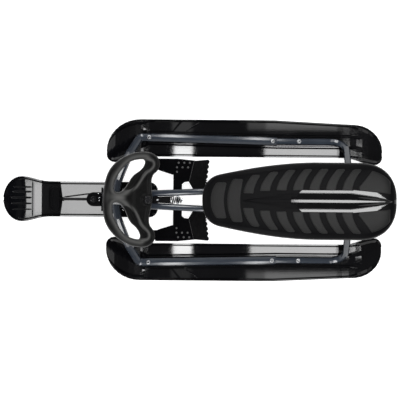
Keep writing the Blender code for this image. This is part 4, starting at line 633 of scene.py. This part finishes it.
PAD_INSIDE = 0.031
FRONT_PADS = 2
FRONT_PAD_X = 0.0434
FRONT_PAD_BOW = 0.0125
FRONT_PAD_HALF = 0.0190
FRONT_PAD_CORNERS = (0.006, 0.006)
SIDE_PADS = 7
SIDE_PAD_X = 0.133
SIDE_PAD_HALF = (0.0150, 0.0124)
SIDE_PAD_CORNERS = (0.0035, 0.0075)
REAR_PAD_END = 0.0215
REAR_PAD_LENGTH = 0.092
GLOSS_HALF = 0.0315
GLOSS_START = (0.2700, 0.2860, 0.80)
GLOSS_END = (0.510, 0.548, 0.0060)
KEEL_GLOSS_HALF = 0.012


def seat_round(distance, rounding, power):
    """A superellipse corner: (1 - (1 - d/r)^p)^(1/p), from near 0 at the end to 1 past the rounding."""
    share = np.clip(distance / rounding, 0.0, 1.0)
    return np.maximum((1 - (1 - share) ** power) ** (1 / power), 0.10)


def seat_half(x):
    """Half width in plan: a + (b - a) sin(pi/2 d/taper) at d from the front, with both ends rounded."""
    ahead = np.maximum(x - SEAT_FRONT_X, 0.0)
    behind = np.maximum(SEAT_FRONT_X + SEAT_LENGTH - x, 0.0)
    swell = np.sin(np.pi / 2 * np.minimum(ahead / SEAT_TAPER, 1.0))
    half = SEAT_HALF[0] + (SEAT_HALF[1] - SEAT_HALF[0]) * swell
    nose = seat_round(ahead, SEAT_ROUNDS[0], SEAT_POWERS[0])
    return half * nose * seat_round(behind, SEAT_ROUNDS[1], SEAT_POWERS[1])


def keel_share(x):
    """How wide and high the keel stands, from 0 at its ends to 1: start^0.75 * stop^0.65."""
    ahead, behind = x - SEAT_FRONT_X, SEAT_FRONT_X + SEAT_LENGTH - x
    start = (ahead - KEEL_ENDS[0]) / (KEEL_ENDS[1] - KEEL_ENDS[0])
    stop = (behind - KEEL_ENDS[2]) / (KEEL_ENDS[3] - KEEL_ENDS[2])
    return np.clip(start, 0, 1) ** 0.75 * np.clip(stop, 0, 1) ** 0.65


def seat_top(x, y):
    """Height of the shell: rise * ends * crown, with the keel's eased ridge on top.

    The crown falls as 1 - 0.13 (y/half)^4 towards the seat's edge, and the keel's middle is flat.
    """
    ahead, behind = x - SEAT_FRONT_X, SEAT_FRONT_X + SEAT_LENGTH - x
    rise = SEAT_THICKNESS * (SEAT_FRONT_SHARE + (1 - SEAT_FRONT_SHARE) * ease(ahead, 0.0, SEAT_SWELL))
    rise = rise + SEAT_KICK * ease(ahead, *SEAT_KICK_RUN)
    ends = np.minimum(seat_round(ahead, SEAT_ROUNDS[0], SEAT_POWERS[0]),
                      seat_round(behind, SEAT_ROUNDS[1] * 0.5, SEAT_POWERS[1]))
    crown = 1 - SEAT_CROWN * np.minimum(np.abs(y) / np.maximum(seat_half(x), 0.004), 1.0) ** 4
    share = keel_share(x)
    across = np.abs(y) / (KEEL_HALF * np.maximum(share, 0.05))
    ridge = KEEL_RISE * np.sqrt(share) * (1 - ease(across, KEEL_FLAT, 1 - KEEL_FLAT))
    return SEAT_BOTTOM + rise * (SEAT_END_SHARE + (1 - SEAT_END_SHARE) * ends) * crown + ridge


def curve_through(points, steps, closed=False):
    """Points on a Catmull-Rom curve, open or closed; each point may carry any number of columns."""
    points = np.asarray(points, dtype=float)
    before, beyond = [2 * points[0] - points[1]], [2 * points[-1] - points[-2]]
    padded = np.concatenate([points[-1:], points, points[:2]] if closed else [before, points, beyond])
    t = (np.arange(steps) / steps).reshape((-1,) + (1,) * (points.ndim - 1))
    runs = [(2 * b + (c - a) * t + (2 * a - 5 * b + 4 * c - d) * t ** 2
             + (3 * b - a - 3 * c + d) * t ** 3) / 2
            for a, b, c, d in zip(padded, padded[1:], padded[2:], padded[3:])]
    return np.concatenate(runs if closed else runs + [points[-1:]])


# Half of each section is laid out from the keel over the top, down the flank and back under the base
arc = 1 - np.cos(np.linspace(0, np.pi / 2, 34))
stations = SEAT_FRONT_X + np.concatenate([SEAT_ROUNDS[0] * arc[:-1],
                                          np.linspace(SEAT_ROUNDS[0], SEAT_LENGTH - SEAT_ROUNDS[1], 200),
                                          SEAT_LENGTH - SEAT_ROUNDS[1] * arc[-2::-1]])
half = seat_half(stations)
keel = np.minimum(np.maximum(keel_share(stations), 0.5) * KEEL_HALF, 0.3 * half)
inner = keel[:, None] * np.linspace(0, 1, 22)
outer = keel[:, None] + (TOP_SHARE * half - keel)[:, None] * np.linspace(0, 1, 34)[1:]
top_y = np.concatenate([inner, outer], axis=1)
top = np.stack([top_y, seat_top(stations[:, None], top_y)], axis=-1)
edge = top[:, -1, 1] - SEAT_BOTTOM
side_y = np.stack([half * s for s in (TOP_SHARE, 0.95, 1.0, 0.985, 0.93, TOP_SHARE)])
side_z = np.stack([SEAT_BOTTOM + edge * s for s in (1.0, 0.86, 0.60, 0.34, 0.12, 0.0)])
flank = curve_through(np.stack([side_y, side_z], axis=-1), 5)[1:]
flank[:, :, 0] = np.minimum(flank[:, :, 0], half)
flank = flank.transpose(1, 0, 2)
base_y = half[:, None] * np.linspace(TOP_SHARE, 0.0, 12)[1:]
base = np.stack([base_y, np.full(base_y.shape, SEAT_BOTTOM)], axis=-1)
section = np.concatenate([top, flank, base], axis=1)
section = np.concatenate([section, section[:, -2:0:-1] * (-1, 1)], axis=1)
rings = np.concatenate([np.repeat(stations[:, None, None], section.shape[1], axis=1), section], axis=-1)
# Black polyethylene: polished along the keel and the channels beside it, satin everywhere further out
seat_plastic, *_ = moulded("polished_polyethylene", ("060607", "0B0B0C"), (0.04, 0.06), 80.0, 0.8, 0.003)
satin_plastic, *_ = moulded("satin_polyethylene", ("060607", "0B0B0C"), (0.34, 0.44), 80.0, 0.9, 0.02,
                            specular=0.07)
shell = piece("seat_shell", [loft(rings)], seat_plastic, "frame", crisp=60)
shell.data.materials.append(satin_plastic)
for face in shell.data.polygons:
    x, y = face.center.x, abs(face.center.y)
    aside = y - KEEL_GLOSS_HALF
    starts = x > (GLOSS_START[0] if aside < 0 else GLOSS_START[1] + GLOSS_START[2] * aside)
    half = np.interp(x, GLOSS_END[:2], (GLOSS_HALF, GLOSS_END[2]))
    face.material_index = 0 if starts and y < half else 1
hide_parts("seat")


def pad_body(plan_x, plan_y, rim, side):
    """A pad over points in plan: it rises by rise * sqrt(1 - (1 - r/edge)^2) at r from its own rim."""
    height = PAD_RISE * np.sqrt(1 - (1 - np.clip(rim / PAD_EDGE, 0, 1)) ** 2)
    ground = seat_top(plan_x, plan_y)
    return slab(np.stack([plan_x, side * plan_y, ground + height - PAD_SINK], axis=-1),
                np.stack([plan_x, side * plan_y, ground - PAD_FOOT], axis=-1))


def grip_pad(centre_line, half_width, corners, side=1):
    """A raised pad along a line in plan, its corners rounded and its rim sloped, closed underneath.

    The outline's half width falls as w - r + sqrt(r^2 - (r - d)^2) within the corner radius r of an end.
    """
    line = np.asarray(centre_line, dtype=float)
    run = np.concatenate([[0], np.cumsum(np.linalg.norm(np.diff(line, axis=0), axis=1))])
    length = run[-1]
    near = 1 - np.cos(np.linspace(0, np.pi / 2, 11))
    marks = np.concatenate([corners[0] * near, np.linspace(corners[0], length - corners[1], 32)[1:-1],
                            (length - corners[1] * near)[::-1]])
    x, y = np.interp(marks, run, line[:, 0]), np.interp(marks, run, line[:, 1])
    width = np.interp(marks, run, half_width)
    for end, corner in ((marks, corners[0]), (length - marks, corners[1])):
        end = np.minimum(end, corner)
        width = width - corner + np.sqrt(np.maximum(corner ** 2 - (corner - end) ** 2, 0))
    width = width + 1e-5
    a = np.array([-1, -0.985, -0.95, -0.9, -0.8, -0.6, -0.3, 0, 0.3, 0.6, 0.8, 0.9, 0.95, 0.985, 1])
    plan_x = x[:, None] + width[:, None] * a
    plan_y = np.repeat(y[:, None], len(a), axis=1)
    rim = np.minimum(width[:, None] * (1 - np.abs(a)), np.minimum(marks, length - marks)[:, None])
    return pad_body(plan_x, plan_y, rim, side)


pads = []
for number in range(FRONT_PADS):
    centre = SEAT_FRONT_X + FRONT_PAD_X + PAD_PITCH * number
    reach = seat_half(np.array(centre)) - 1.15 * PAD_MARGIN
    s = np.linspace(-1, 1, 41)
    pads.append(grip_pad(np.stack([centre + FRONT_PAD_BOW * s ** 2, reach * s], axis=-1),
                         FRONT_PAD_HALF * (1 - 0.22 * np.abs(s) ** 3), FRONT_PAD_CORNERS))
for side in (1, -1):
    for number in range(SIDE_PADS):
        centre = SEAT_FRONT_X + SIDE_PAD_X + PAD_PITCH * number
        front = 0.3 ** number
        reach = seat_half(np.array(centre + PAD_INSIDE)) - PAD_MARGIN * (1 + 0.2 * front)
        inside = PAD_INSIDE * (1 - 0.32 * front)
        s = np.linspace(0, 1, 31)
        sweep = PAD_INSIDE * (1 - 0.25 * front) * s ** 1.8
        line = np.stack([centre + sweep, inside + (reach - inside) * s], axis=-1)
        width = SIDE_PAD_HALF[0] + (SIDE_PAD_HALF[1] - SIDE_PAD_HALF[0]) * s ** 1.5
        pads.append(grip_pad(line, width, SIDE_PAD_CORNERS, side))
    # The rear pads fill both rear corners: their outer edge follows the seat's own round
    s = np.linspace(0, 1, 40)
    x = SEAT_FRONT_X + SEAT_LENGTH - REAR_PAD_END - REAR_PAD_LENGTH * (1 - s)
    inside = PAD_INSIDE * (1 - 0.3 * s)
    outside = np.maximum(np.minimum(0.0403 + 0.115 * s, seat_half(x) - PAD_MARGIN), inside + 0.0103)
    t = np.array([0, 0.02, 0.05, 0.1, 0.2, 0.35, 0.5, 0.65, 0.8, 0.9, 0.95, 0.98, 1])
    plan_y = inside[:, None] + (outside - inside)[:, None] * t
    plan_x = np.repeat(x[:, None], len(t), axis=1)
    rim = np.minimum(np.minimum(plan_y - inside[:, None], outside[:, None] - plan_y),
                     np.minimum(s, 1 - s)[:, None] * REAR_PAD_LENGTH)
    pads.append(pad_body(plan_x, plan_y, rim, side))
# Spark-eroded grip texture: the same plastic, but grained so coarsely that it reads as mid grey
pad_plastic, *_ = moulded("spark_grained_grip", ("101010", "171717"), (0.36, 0.46), 5.0, 1.1, 0.12,
                          specular=0.31)
piece("seat_grip_pads", pads, pad_plastic, "frame", crisp=50)
# The two saddles under the shell are nylon, satin black as it comes from the mould
saddle_plastic, *_ = moulded("ribbed_saddle_nylon", ("0C0C0D", "161617"), (0.35, 0.5), 8.0, 0.7, 0.05)
coat(saddle_plastic, "seat_saddle_front", "seat_saddle_rear")


# The steering wheel is a butterfly shape moulded in one: a fat round rim, two grip openings with a lowered
# web beside each, and a broad middle over the column. Its soft grey-black grip skin is finely stippled.
WHEEL_CENTRE = Vector((-0.1455, 0.0, 0.285))
WHEEL_TILT = math.radians(30)
WHEEL_TURN = math.radians(3.8)
WHEEL_DEPTH = 0.1345
WHEEL_REACH = 0.135
WHEEL_SHIFT = 0.004
WHEEL_THICK = 0.024
WEB_DROP = 0.008
WEB_MARGIN = 0.002
WEB_SLOPE = 0.0065
RIM_ROUND = 0.0135
WEB_ROUND = 0.0045
UNDER_ROUND = 0.0085
GRID_HALF = 0.1385
WHEEL_CELL = 0.00125
HUB_DROP = 0.0045
CAP_RISE = 0.0163
# The dish's steps and the painted highlight bands: where each begins or has its middle, and its width
DISH_FROM_RIDGE = (0.0095, 0.0075)
DISH_FROM_CAP = (0.0145, 0.005)
DISH_FRONT = (-0.052, 0.022)
RIM_HIGHLIGHT_BAND = (0.0085, 0.0065)
RIDGE_HIGHLIGHT_BAND = (0.0055, 0.0035)
RIDGE_HIGHLIGHT_FRONT = (-0.060, 0.03)
NECK_HIGHLIGHT_FRONT = (0.059, 0.019)
RIM_PAINTED_HIGHLIGHT = 0.50
RIDGE_PAINTED_HIGHLIGHT = 0.52
NECK_PAINTED_HIGHLIGHT = 0.66
RIM = [(-1.00, 0.0), (-0.995, 0.16), (-0.965, 0.36), (-0.91, 0.525), (-0.83, 0.65), (-0.73, 0.752),
       (-0.605, 0.846), (-0.485, 0.908), (-0.325, 0.97), (-0.14, 1.0), (0.025, 0.993), (0.155, 0.938),
       (0.23, 0.85), (0.25, 0.765), (0.232, 0.68), (0.178, 0.60), (0.11, 0.53), (0.08, 0.44),
       (0.078, 0.355), (0.095, 0.20), (0.12, 0.07), (0.123, 0.0)]
OPENING = [(-0.790, 0.185), (-0.770, 0.35), (-0.685, 0.505), (-0.570, 0.652), (-0.435, 0.763),
           (-0.270, 0.82), (-0.117, 0.83), (-0.085, 0.763), (-0.129, 0.667), (-0.212, 0.583),
           (-0.307, 0.515), (-0.382, 0.425), (-0.440, 0.32), (-0.508, 0.218), (-0.601, 0.135),
           (-0.705, 0.109), (-0.768, 0.13)]
WEB = [(-0.248, 0.770), (-0.114, 0.812), (-0.010, 0.800), (0.035, 0.763), (0.027, 0.714), (-0.020, 0.661),
       (-0.110, 0.590), (-0.181, 0.504), (-0.246, 0.396), (-0.319, 0.286), (-0.397, 0.211), (-0.486, 0.163),
       (-0.565, 0.170), (-0.525, 0.296), (-0.456, 0.444), (-0.360, 0.630)]


def wheel_loop(shares):
    """A smooth closed outline in the wheel's own plane, through points given as shares of its size."""
    return curve_through(np.array(shares) * (WHEEL_DEPTH, WHEEL_REACH) + (WHEEL_SHIFT, 0), 24, closed=True)


def inside_loop(loop, x, y):
    """Whether points lie within a closed outline, by counting the edges crossed."""
    odd = np.zeros(x.shape, dtype=bool)
    for (x1, y1), (x2, y2) in zip(loop, np.roll(loop, -1, axis=0)):
        if y1 != y2:
            odd ^= ((y1 > y) != (y2 > y)) & (x < (x2 - x1) * (y - y1) / (y2 - y1) + x1)
    return odd


def nearest_on(loops, x, y):
    """Distance to, and place of, the nearest point on any of the outlines."""
    places = np.concatenate(loops)
    tree = kdtree.KDTree(len(places))
    for index, (px, py) in enumerate(places):
        tree.insert((px, py, 0), index)
    tree.balance()
    found = [tree.find((px, py, 0)) for px, py in zip(x.ravel(), y.ravel())]
    distance = np.array([f[2] for f in found]).reshape(x.shape)
    return distance, places[[f[1] for f in found]].reshape(x.shape + (2,))


mirror = [(u, -v) for u, v in reversed(RIM[1:-1])]
outer = wheel_loop(RIM + mirror)
openings = [wheel_loop(OPENING), wheel_loop(OPENING) * (1, -1)]
webs = [wheel_loop(WEB), wheel_loop(WEB) * (1, -1)]
u_line = np.arange(outer[:, 0].min() - 0.003, outer[:, 0].max() + 0.003, WHEEL_CELL)
v_line = np.arange(-GRID_HALF, GRID_HALF + 0.0001, WHEEL_CELL)
u, v = np.meshgrid(u_line, v_line, indexing="ij")
solid = inside_loop(outer, u, v) & ~inside_loop(openings[0], u, v) & ~inside_loop(openings[1], u, v)
distance, nearest = nearest_on([outer] + openings, u, v)
core = solid & (distance > 0.4 * WHEEL_CELL)
u, v = np.where(core, u, nearest[..., 0]), np.where(core, v, nearest[..., 1])
deep = np.where(core, distance, 0.0)
web_distance, _ = nearest_on(webs, u, v)
in_web = inside_loop(webs[0], u, v) | inside_loop(webs[1], u, v)
web = ease(np.where(in_web, web_distance, -web_distance), -WEB_MARGIN, WEB_SLOPE)


def dome(distance, round_width, height, power):
    """Height of a rounded edge: height * (1 - (1 - d/round)^p)^(1/p) at d inside the outline."""
    share = np.clip(distance / round_width, 0.0, 1.0)
    return height * (1 - (1 - share) ** power) ** (1 / power)


def band(distance, middle, width):
    """A soft band along an outline: exp(-((d - middle)/width)^2) at a distance d from it."""
    return np.exp(-((distance - middle) / width) ** 2)


# The middle is dished: it falls away behind the ridges along the webs, and stands up again round the cap
dished = ease(np.minimum(deep, web_distance), *DISH_FROM_RIDGE) * ease(u, *DISH_FRONT)
dished = dished * ease(np.hypot(u, v), *DISH_FROM_CAP)
crest = dome(deep, RIM_ROUND, WHEEL_THICK / 2, 2.15) - HUB_DROP * dished
# A painted highlight greys the rim's inner shoulder, the ridges beside the webs and the neck between the
# openings, and leaves the middle dull
from_opening, _ = nearest_on(openings, u, v)
rim_highlight_share = band(from_opening, *RIM_HIGHLIGHT_BAND) * ease((-u - 0.015) / 0.04 + np.abs(v) / 0.11)
ridge_highlight_share = band(web_distance, *RIDGE_HIGHLIGHT_BAND) * ease(u, *RIDGE_HIGHLIGHT_FRONT)
neck_highlight_share = band(np.hypot((u + 0.088) / 0.026, v / 0.013), 0.0, 1.0) * ease(-u, *NECK_HIGHLIGHT_FRONT)
painted_highlight = np.maximum(RIM_PAINTED_HIGHLIGHT * rim_highlight_share, RIDGE_PAINTED_HIGHLIGHT * ridge_highlight_share) * (1 - in_web)
painted_highlight = np.maximum(painted_highlight, NECK_PAINTED_HIGHLIGHT * neck_highlight_share)
low = dome(deep, WEB_ROUND, WHEEL_THICK / 2 - WEB_DROP, 2.0)
top = crest * (1 - web) + np.minimum(crest, low) * web
under = -dome(deep, UNDER_ROUND, WHEEL_THICK / 2, 2.1)
# Cells that touch the inside are kept; the upper and lower side share the points on the outlines
kept = core[:-1, :-1] | core[1:, :-1] | core[1:, 1:] | core[:-1, 1:]
quads = grid_quads(np.arange(u.size).reshape(u.shape))[kept]
used = np.unique(quads)
renumber = np.full(u.size, -1)
renumber[used] = np.arange(len(used))
shared = ~core.ravel()[used]
below = np.where(shared, np.arange(len(used)), -1)
below[~shared] = len(used) + np.arange((~shared).sum())
above, beneath = (np.stack([u, v, height], axis=-1).reshape(-1, 3)[used] for height in (top, under))
points = np.concatenate([above, beneath[~shared]])
upper = renumber[quads]
lower = below[upper][:, ::-1]
tilt = (Matrix.Translation(WHEEL_CENTRE) @ Matrix.Rotation(WHEEL_TILT, 4, "Y")
        @ Matrix.Rotation(-WHEEL_TURN, 4, "Z"))
turned = points @ np.array(tilt.to_3x3()).T + np.array(WHEEL_CENTRE)
body = outward(turned, [tuple(map(int, f)) for f in np.concatenate([upper, lower])])
boss = lathe([(0.0113, -0.0302), (0.0189, -0.0302), (0.0196, -0.0290), (0.0220, -0.0040), (0.0113, -0.0040)],
             sides=48, matrix=tilt)

# Soft-touch grip: charcoal, low sheen and finely stippled, lightened to grey where a highlight is painted
grip, nodes, mm, bsdf = moulded("stippled_grip_rubber", ("090909", "0E0E0E"), (0.34, 0.44), 16.0, 1.2, 0.05,
                                specular=0.14)
pores = add(nodes, "ShaderNodeTexVoronoi", {"Vector": mm.outputs[0], "Scale": 1 / 1.7}, feature="F1")
bump_over(nodes, bsdf, pores.outputs["Distance"], 0.35, 0.0002)
# Painted highlight: the attribute mixes the grip's base colour towards a light grey
painted_highlight_node = add(nodes, "ShaderNodeAttribute", attribute_name="painted_highlight")
painted_highlight_mix = add(nodes, "ShaderNodeMix", {0: painted_highlight_node.outputs["Fac"], 7: linear("585857"),
                                    6: bsdf.inputs["Base Color"].links[0].from_socket}, data_type="RGBA")
nodes.id_data.links.new(painted_highlight_mix.outputs[2], bsdf.inputs["Base Color"])
wheel = piece("wheel_grip_rim", [body, boss], grip, "steering", crisp=70)
values = np.zeros(len(wheel.data.vertices))
values[:len(used)] = painted_highlight.ravel()[used]
wheel.data.attributes.new("painted_highlight", "FLOAT", "POINT").data.foreach_set("value", values)
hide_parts("steering_wheel")

# The hub cap is a satin black disc with a raised polished ring and a shallow dished middle, left bare
cap_plastic, *_ = moulded("satin_cap_plastic", ("060607", "0C0C0D"), (0.22, 0.34), 4.0, 0.5, 0.02)
ring_plastic, *_ = moulded("polished_ring_plastic", ("101012", "1A1A1C"), (0.05, 0.10), 3.0, 0.3, 0.004,
                           **{"Coat Weight": 0.6, "Coat Roughness": 0.05})
coat(cap_plastic, "hub_cap")
cap_top = tilt @ Matrix.Translation((0, 0, CAP_RISE))
ring = lathe([(0.0082, -0.0002), (0.0088, 0.0005), (0.0096, 0.0006), (0.0103, 0.0001), (0.0104, -0.0008),
              (0.0082, -0.0008)], sides=64, matrix=cap_top)
dish = lathe([(0, -0.0006), (0.0070, -0.0006), (0.0072, 0.0001), (0.0066, 0.0003), (0.0035, 0.00015),
              (0, 0.0001)], sides=48, matrix=cap_top)
piece("hub_cap_ring", [ring, dish], ring_plastic, "steering")


# The front ski is the same glossy polyethylene, wider at its curled nose, with raised rims. Five round ribs
# stiffen the nose in front of a cross rib, and a low bracket and the tow line's reel stand on its deck.
NOSE_X = -0.5835
NOSE_RISE = 0.060
NOSE_RUN = 0.1775
DECK_WALL = 0.0053
RIB_RADIUS = 0.0022
RIB_ENDS = (-0.5686, -0.5050)
RIBS = {0.0358: 0.0028, 0.0214: 0.0034, 0.0034: 0.0034, -0.0144: 0.0030, -0.0321: 0.0022}
CROSS_RIB_X = -0.5030
CROSS_RIB_HALF = 0.0545
SPINDLE_SETBACK = 0.0213
MATT_START, MATT_POINT, MATT_SLANT = -0.4760, -0.4125, 0.124
MATT_CUTS = ((-0.400, 0.0), (MATT_START, 0.0), (MATT_POINT, MATT_SLANT), (MATT_POINT, -MATT_SLANT))


def nose_height(x):
    """Height of the curled nose: rise * (1 - d/run)^2.5 at a distance d from its tip."""
    return NOSE_RISE * np.maximum(1 - (x - NOSE_X) / NOSE_RUN, 0.0) ** 2.5


def softened(name, crosscuts, crisp):
    """A merged copy of a CAD body, shaded smooth along its curl and cut across by upright planes.

    A cut is the place where its plane meets the middle, and its slant: x + slant * y = place.
    """
    cage = bmesh.new()
    cage.from_mesh(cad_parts[name].data)
    bmesh.ops.remove_doubles(cage, verts=cage.verts, dist=1e-5)
    for x, slant in crosscuts:
        bmesh.ops.bisect_plane(cage, geom=cage.verts[:] + cage.edges[:] + cage.faces[:], dist=1e-6,
                               plane_co=(x, 0, 0), plane_no=(1, slant, 0))
    mesh = bpy.data.meshes.new(name + "_smooth")
    cage.to_mesh(mesh)
    cage.free()
    if "custom_normal" in mesh.attributes:
        mesh.attributes.remove(mesh.attributes["custom_normal"])
    smooth(mesh, crisp)
    return put_in_scene(name + "_smooth", mesh)


def rib(line, radius):
    """A round-backed rib that tapers into the ski at both of its ends."""
    line = np.asarray(line, dtype=float)
    ends = np.sqrt(np.maximum(1 - np.abs(np.linspace(-1, 1, len(line))) ** 8, 0.01))
    rings = rounded_bead(line, 1.0, closed=False, sides=14)
    return loft(line[:, None] + (rings - line[:, None]) * (radius * ends)[:, None, None])


# Moulded polyethylene as on the rear skis, a touch less bright, with faint scuffs across the nose
nose_plastic, nodes, mm, bsdf = moulded("gloss_polyethylene_nose", ("050507", "090A0C"), (0.035, 0.06),
                                        120.0, 0.9, 0.0006, specular=0.42)
scuffs = add(nodes, "ShaderNodeMapping", {"Vector": mm.outputs[0], "Scale": (0.05, 0.7, 0.05)})
scuffs = add(nodes, "ShaderNodeTexNoise", {"Vector": scuffs.outputs[0], "Scale": 1.0, "Detail": 3.0})
bump_over(nodes, bsdf, scuffs.outputs["Fac"], 0.15, 0.00005)
# A matt band crosses the ski under the handle, moulded dull so that the handle grips it
band_plastic, *_ = moulded("matt_polyethylene_nose", ("050506", "09090A"), (0.40, 0.50), 20.0, 0.7, 0.03,
                           specular=0.08)
front_ski = softened("front_ski", MATT_CUTS, 12)
front_ski.data.materials.append(nose_plastic)
front_ski.data.materials.append(band_plastic)
for face in front_ski.data.polygons:
    x, y, _ = face.center
    face.material_index = int(x > MATT_START and x + MATT_SLANT * abs(y) < MATT_POINT)
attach(front_ski, "front_ski")
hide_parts("front_ski")
ribs = []
for y, radius in RIBS.items():
    x = np.linspace(RIB_ENDS[0] + 0.25 * abs(y), RIB_ENDS[1], 28)
    centre = nose_height(x) + DECK_WALL + RIB_RADIUS - radius
    ribs.append(rib(np.stack([x, np.full_like(x, y), centre], axis=-1), radius))
y = np.linspace(-CROSS_RIB_HALF, CROSS_RIB_HALF, 40)
x = np.full_like(y, CROSS_RIB_X)
ribs.append(rib(np.stack([x, y, nose_height(x) + DECK_WALL], axis=-1), RIB_RADIUS))
piece("nose_ribs", ribs, nose_plastic, "front_ski")

# The bracket and the reel's case are glass-filled nylon too, satin black
bracket_plastic, *_ = moulded("satin_bracket_nylon", ("060607", "0C0C0D"), (0.36, 0.50), 8.0, 0.6, 0.03,
                              specular=0.07)
coat(bracket_plastic, "ski_bracket", "reel_case")

# The reel's cover is a separate moulding with a raised disc; a polished ring and hub mark its spindle
cover_plastic, *_ = moulded("reel_cover_plastic", ("040405", "08080A"), (0.40, 0.52), 5.0, 0.5, 0.02,
                            specular=0.05)
coat(cover_plastic, "reel_cover")
low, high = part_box("reel_cover")
place = (low[0] + SPINDLE_SETBACK, 0, high[2])
ring = lathe([(0.0060, -0.0004), (0.0066, 0.0004), (0.0080, 0.0005), (0.0086, -0.0001), (0.0086, -0.0006),
              (0.0060, -0.0006)], place, 56)
hub = lathe([(0, -0.0005), (0.0044, -0.0005), (0.0044, 0.0003), (0.0038, 0.0006), (0, 0.0007)], place, 32)
piece("reel_spindle_ring", [ring, hub], ring_plastic, "front_ski")

# The handle is one matt moulding, rounded to the hand, with a finger recess along its top
handle_plastic, *_ = moulded("matt_handle_nylon", ("040405", "080809"), (0.42, 0.6), 7.0, 0.8, 0.04,
                             specular=0.06)
coat(handle_plastic, "tow_handle")
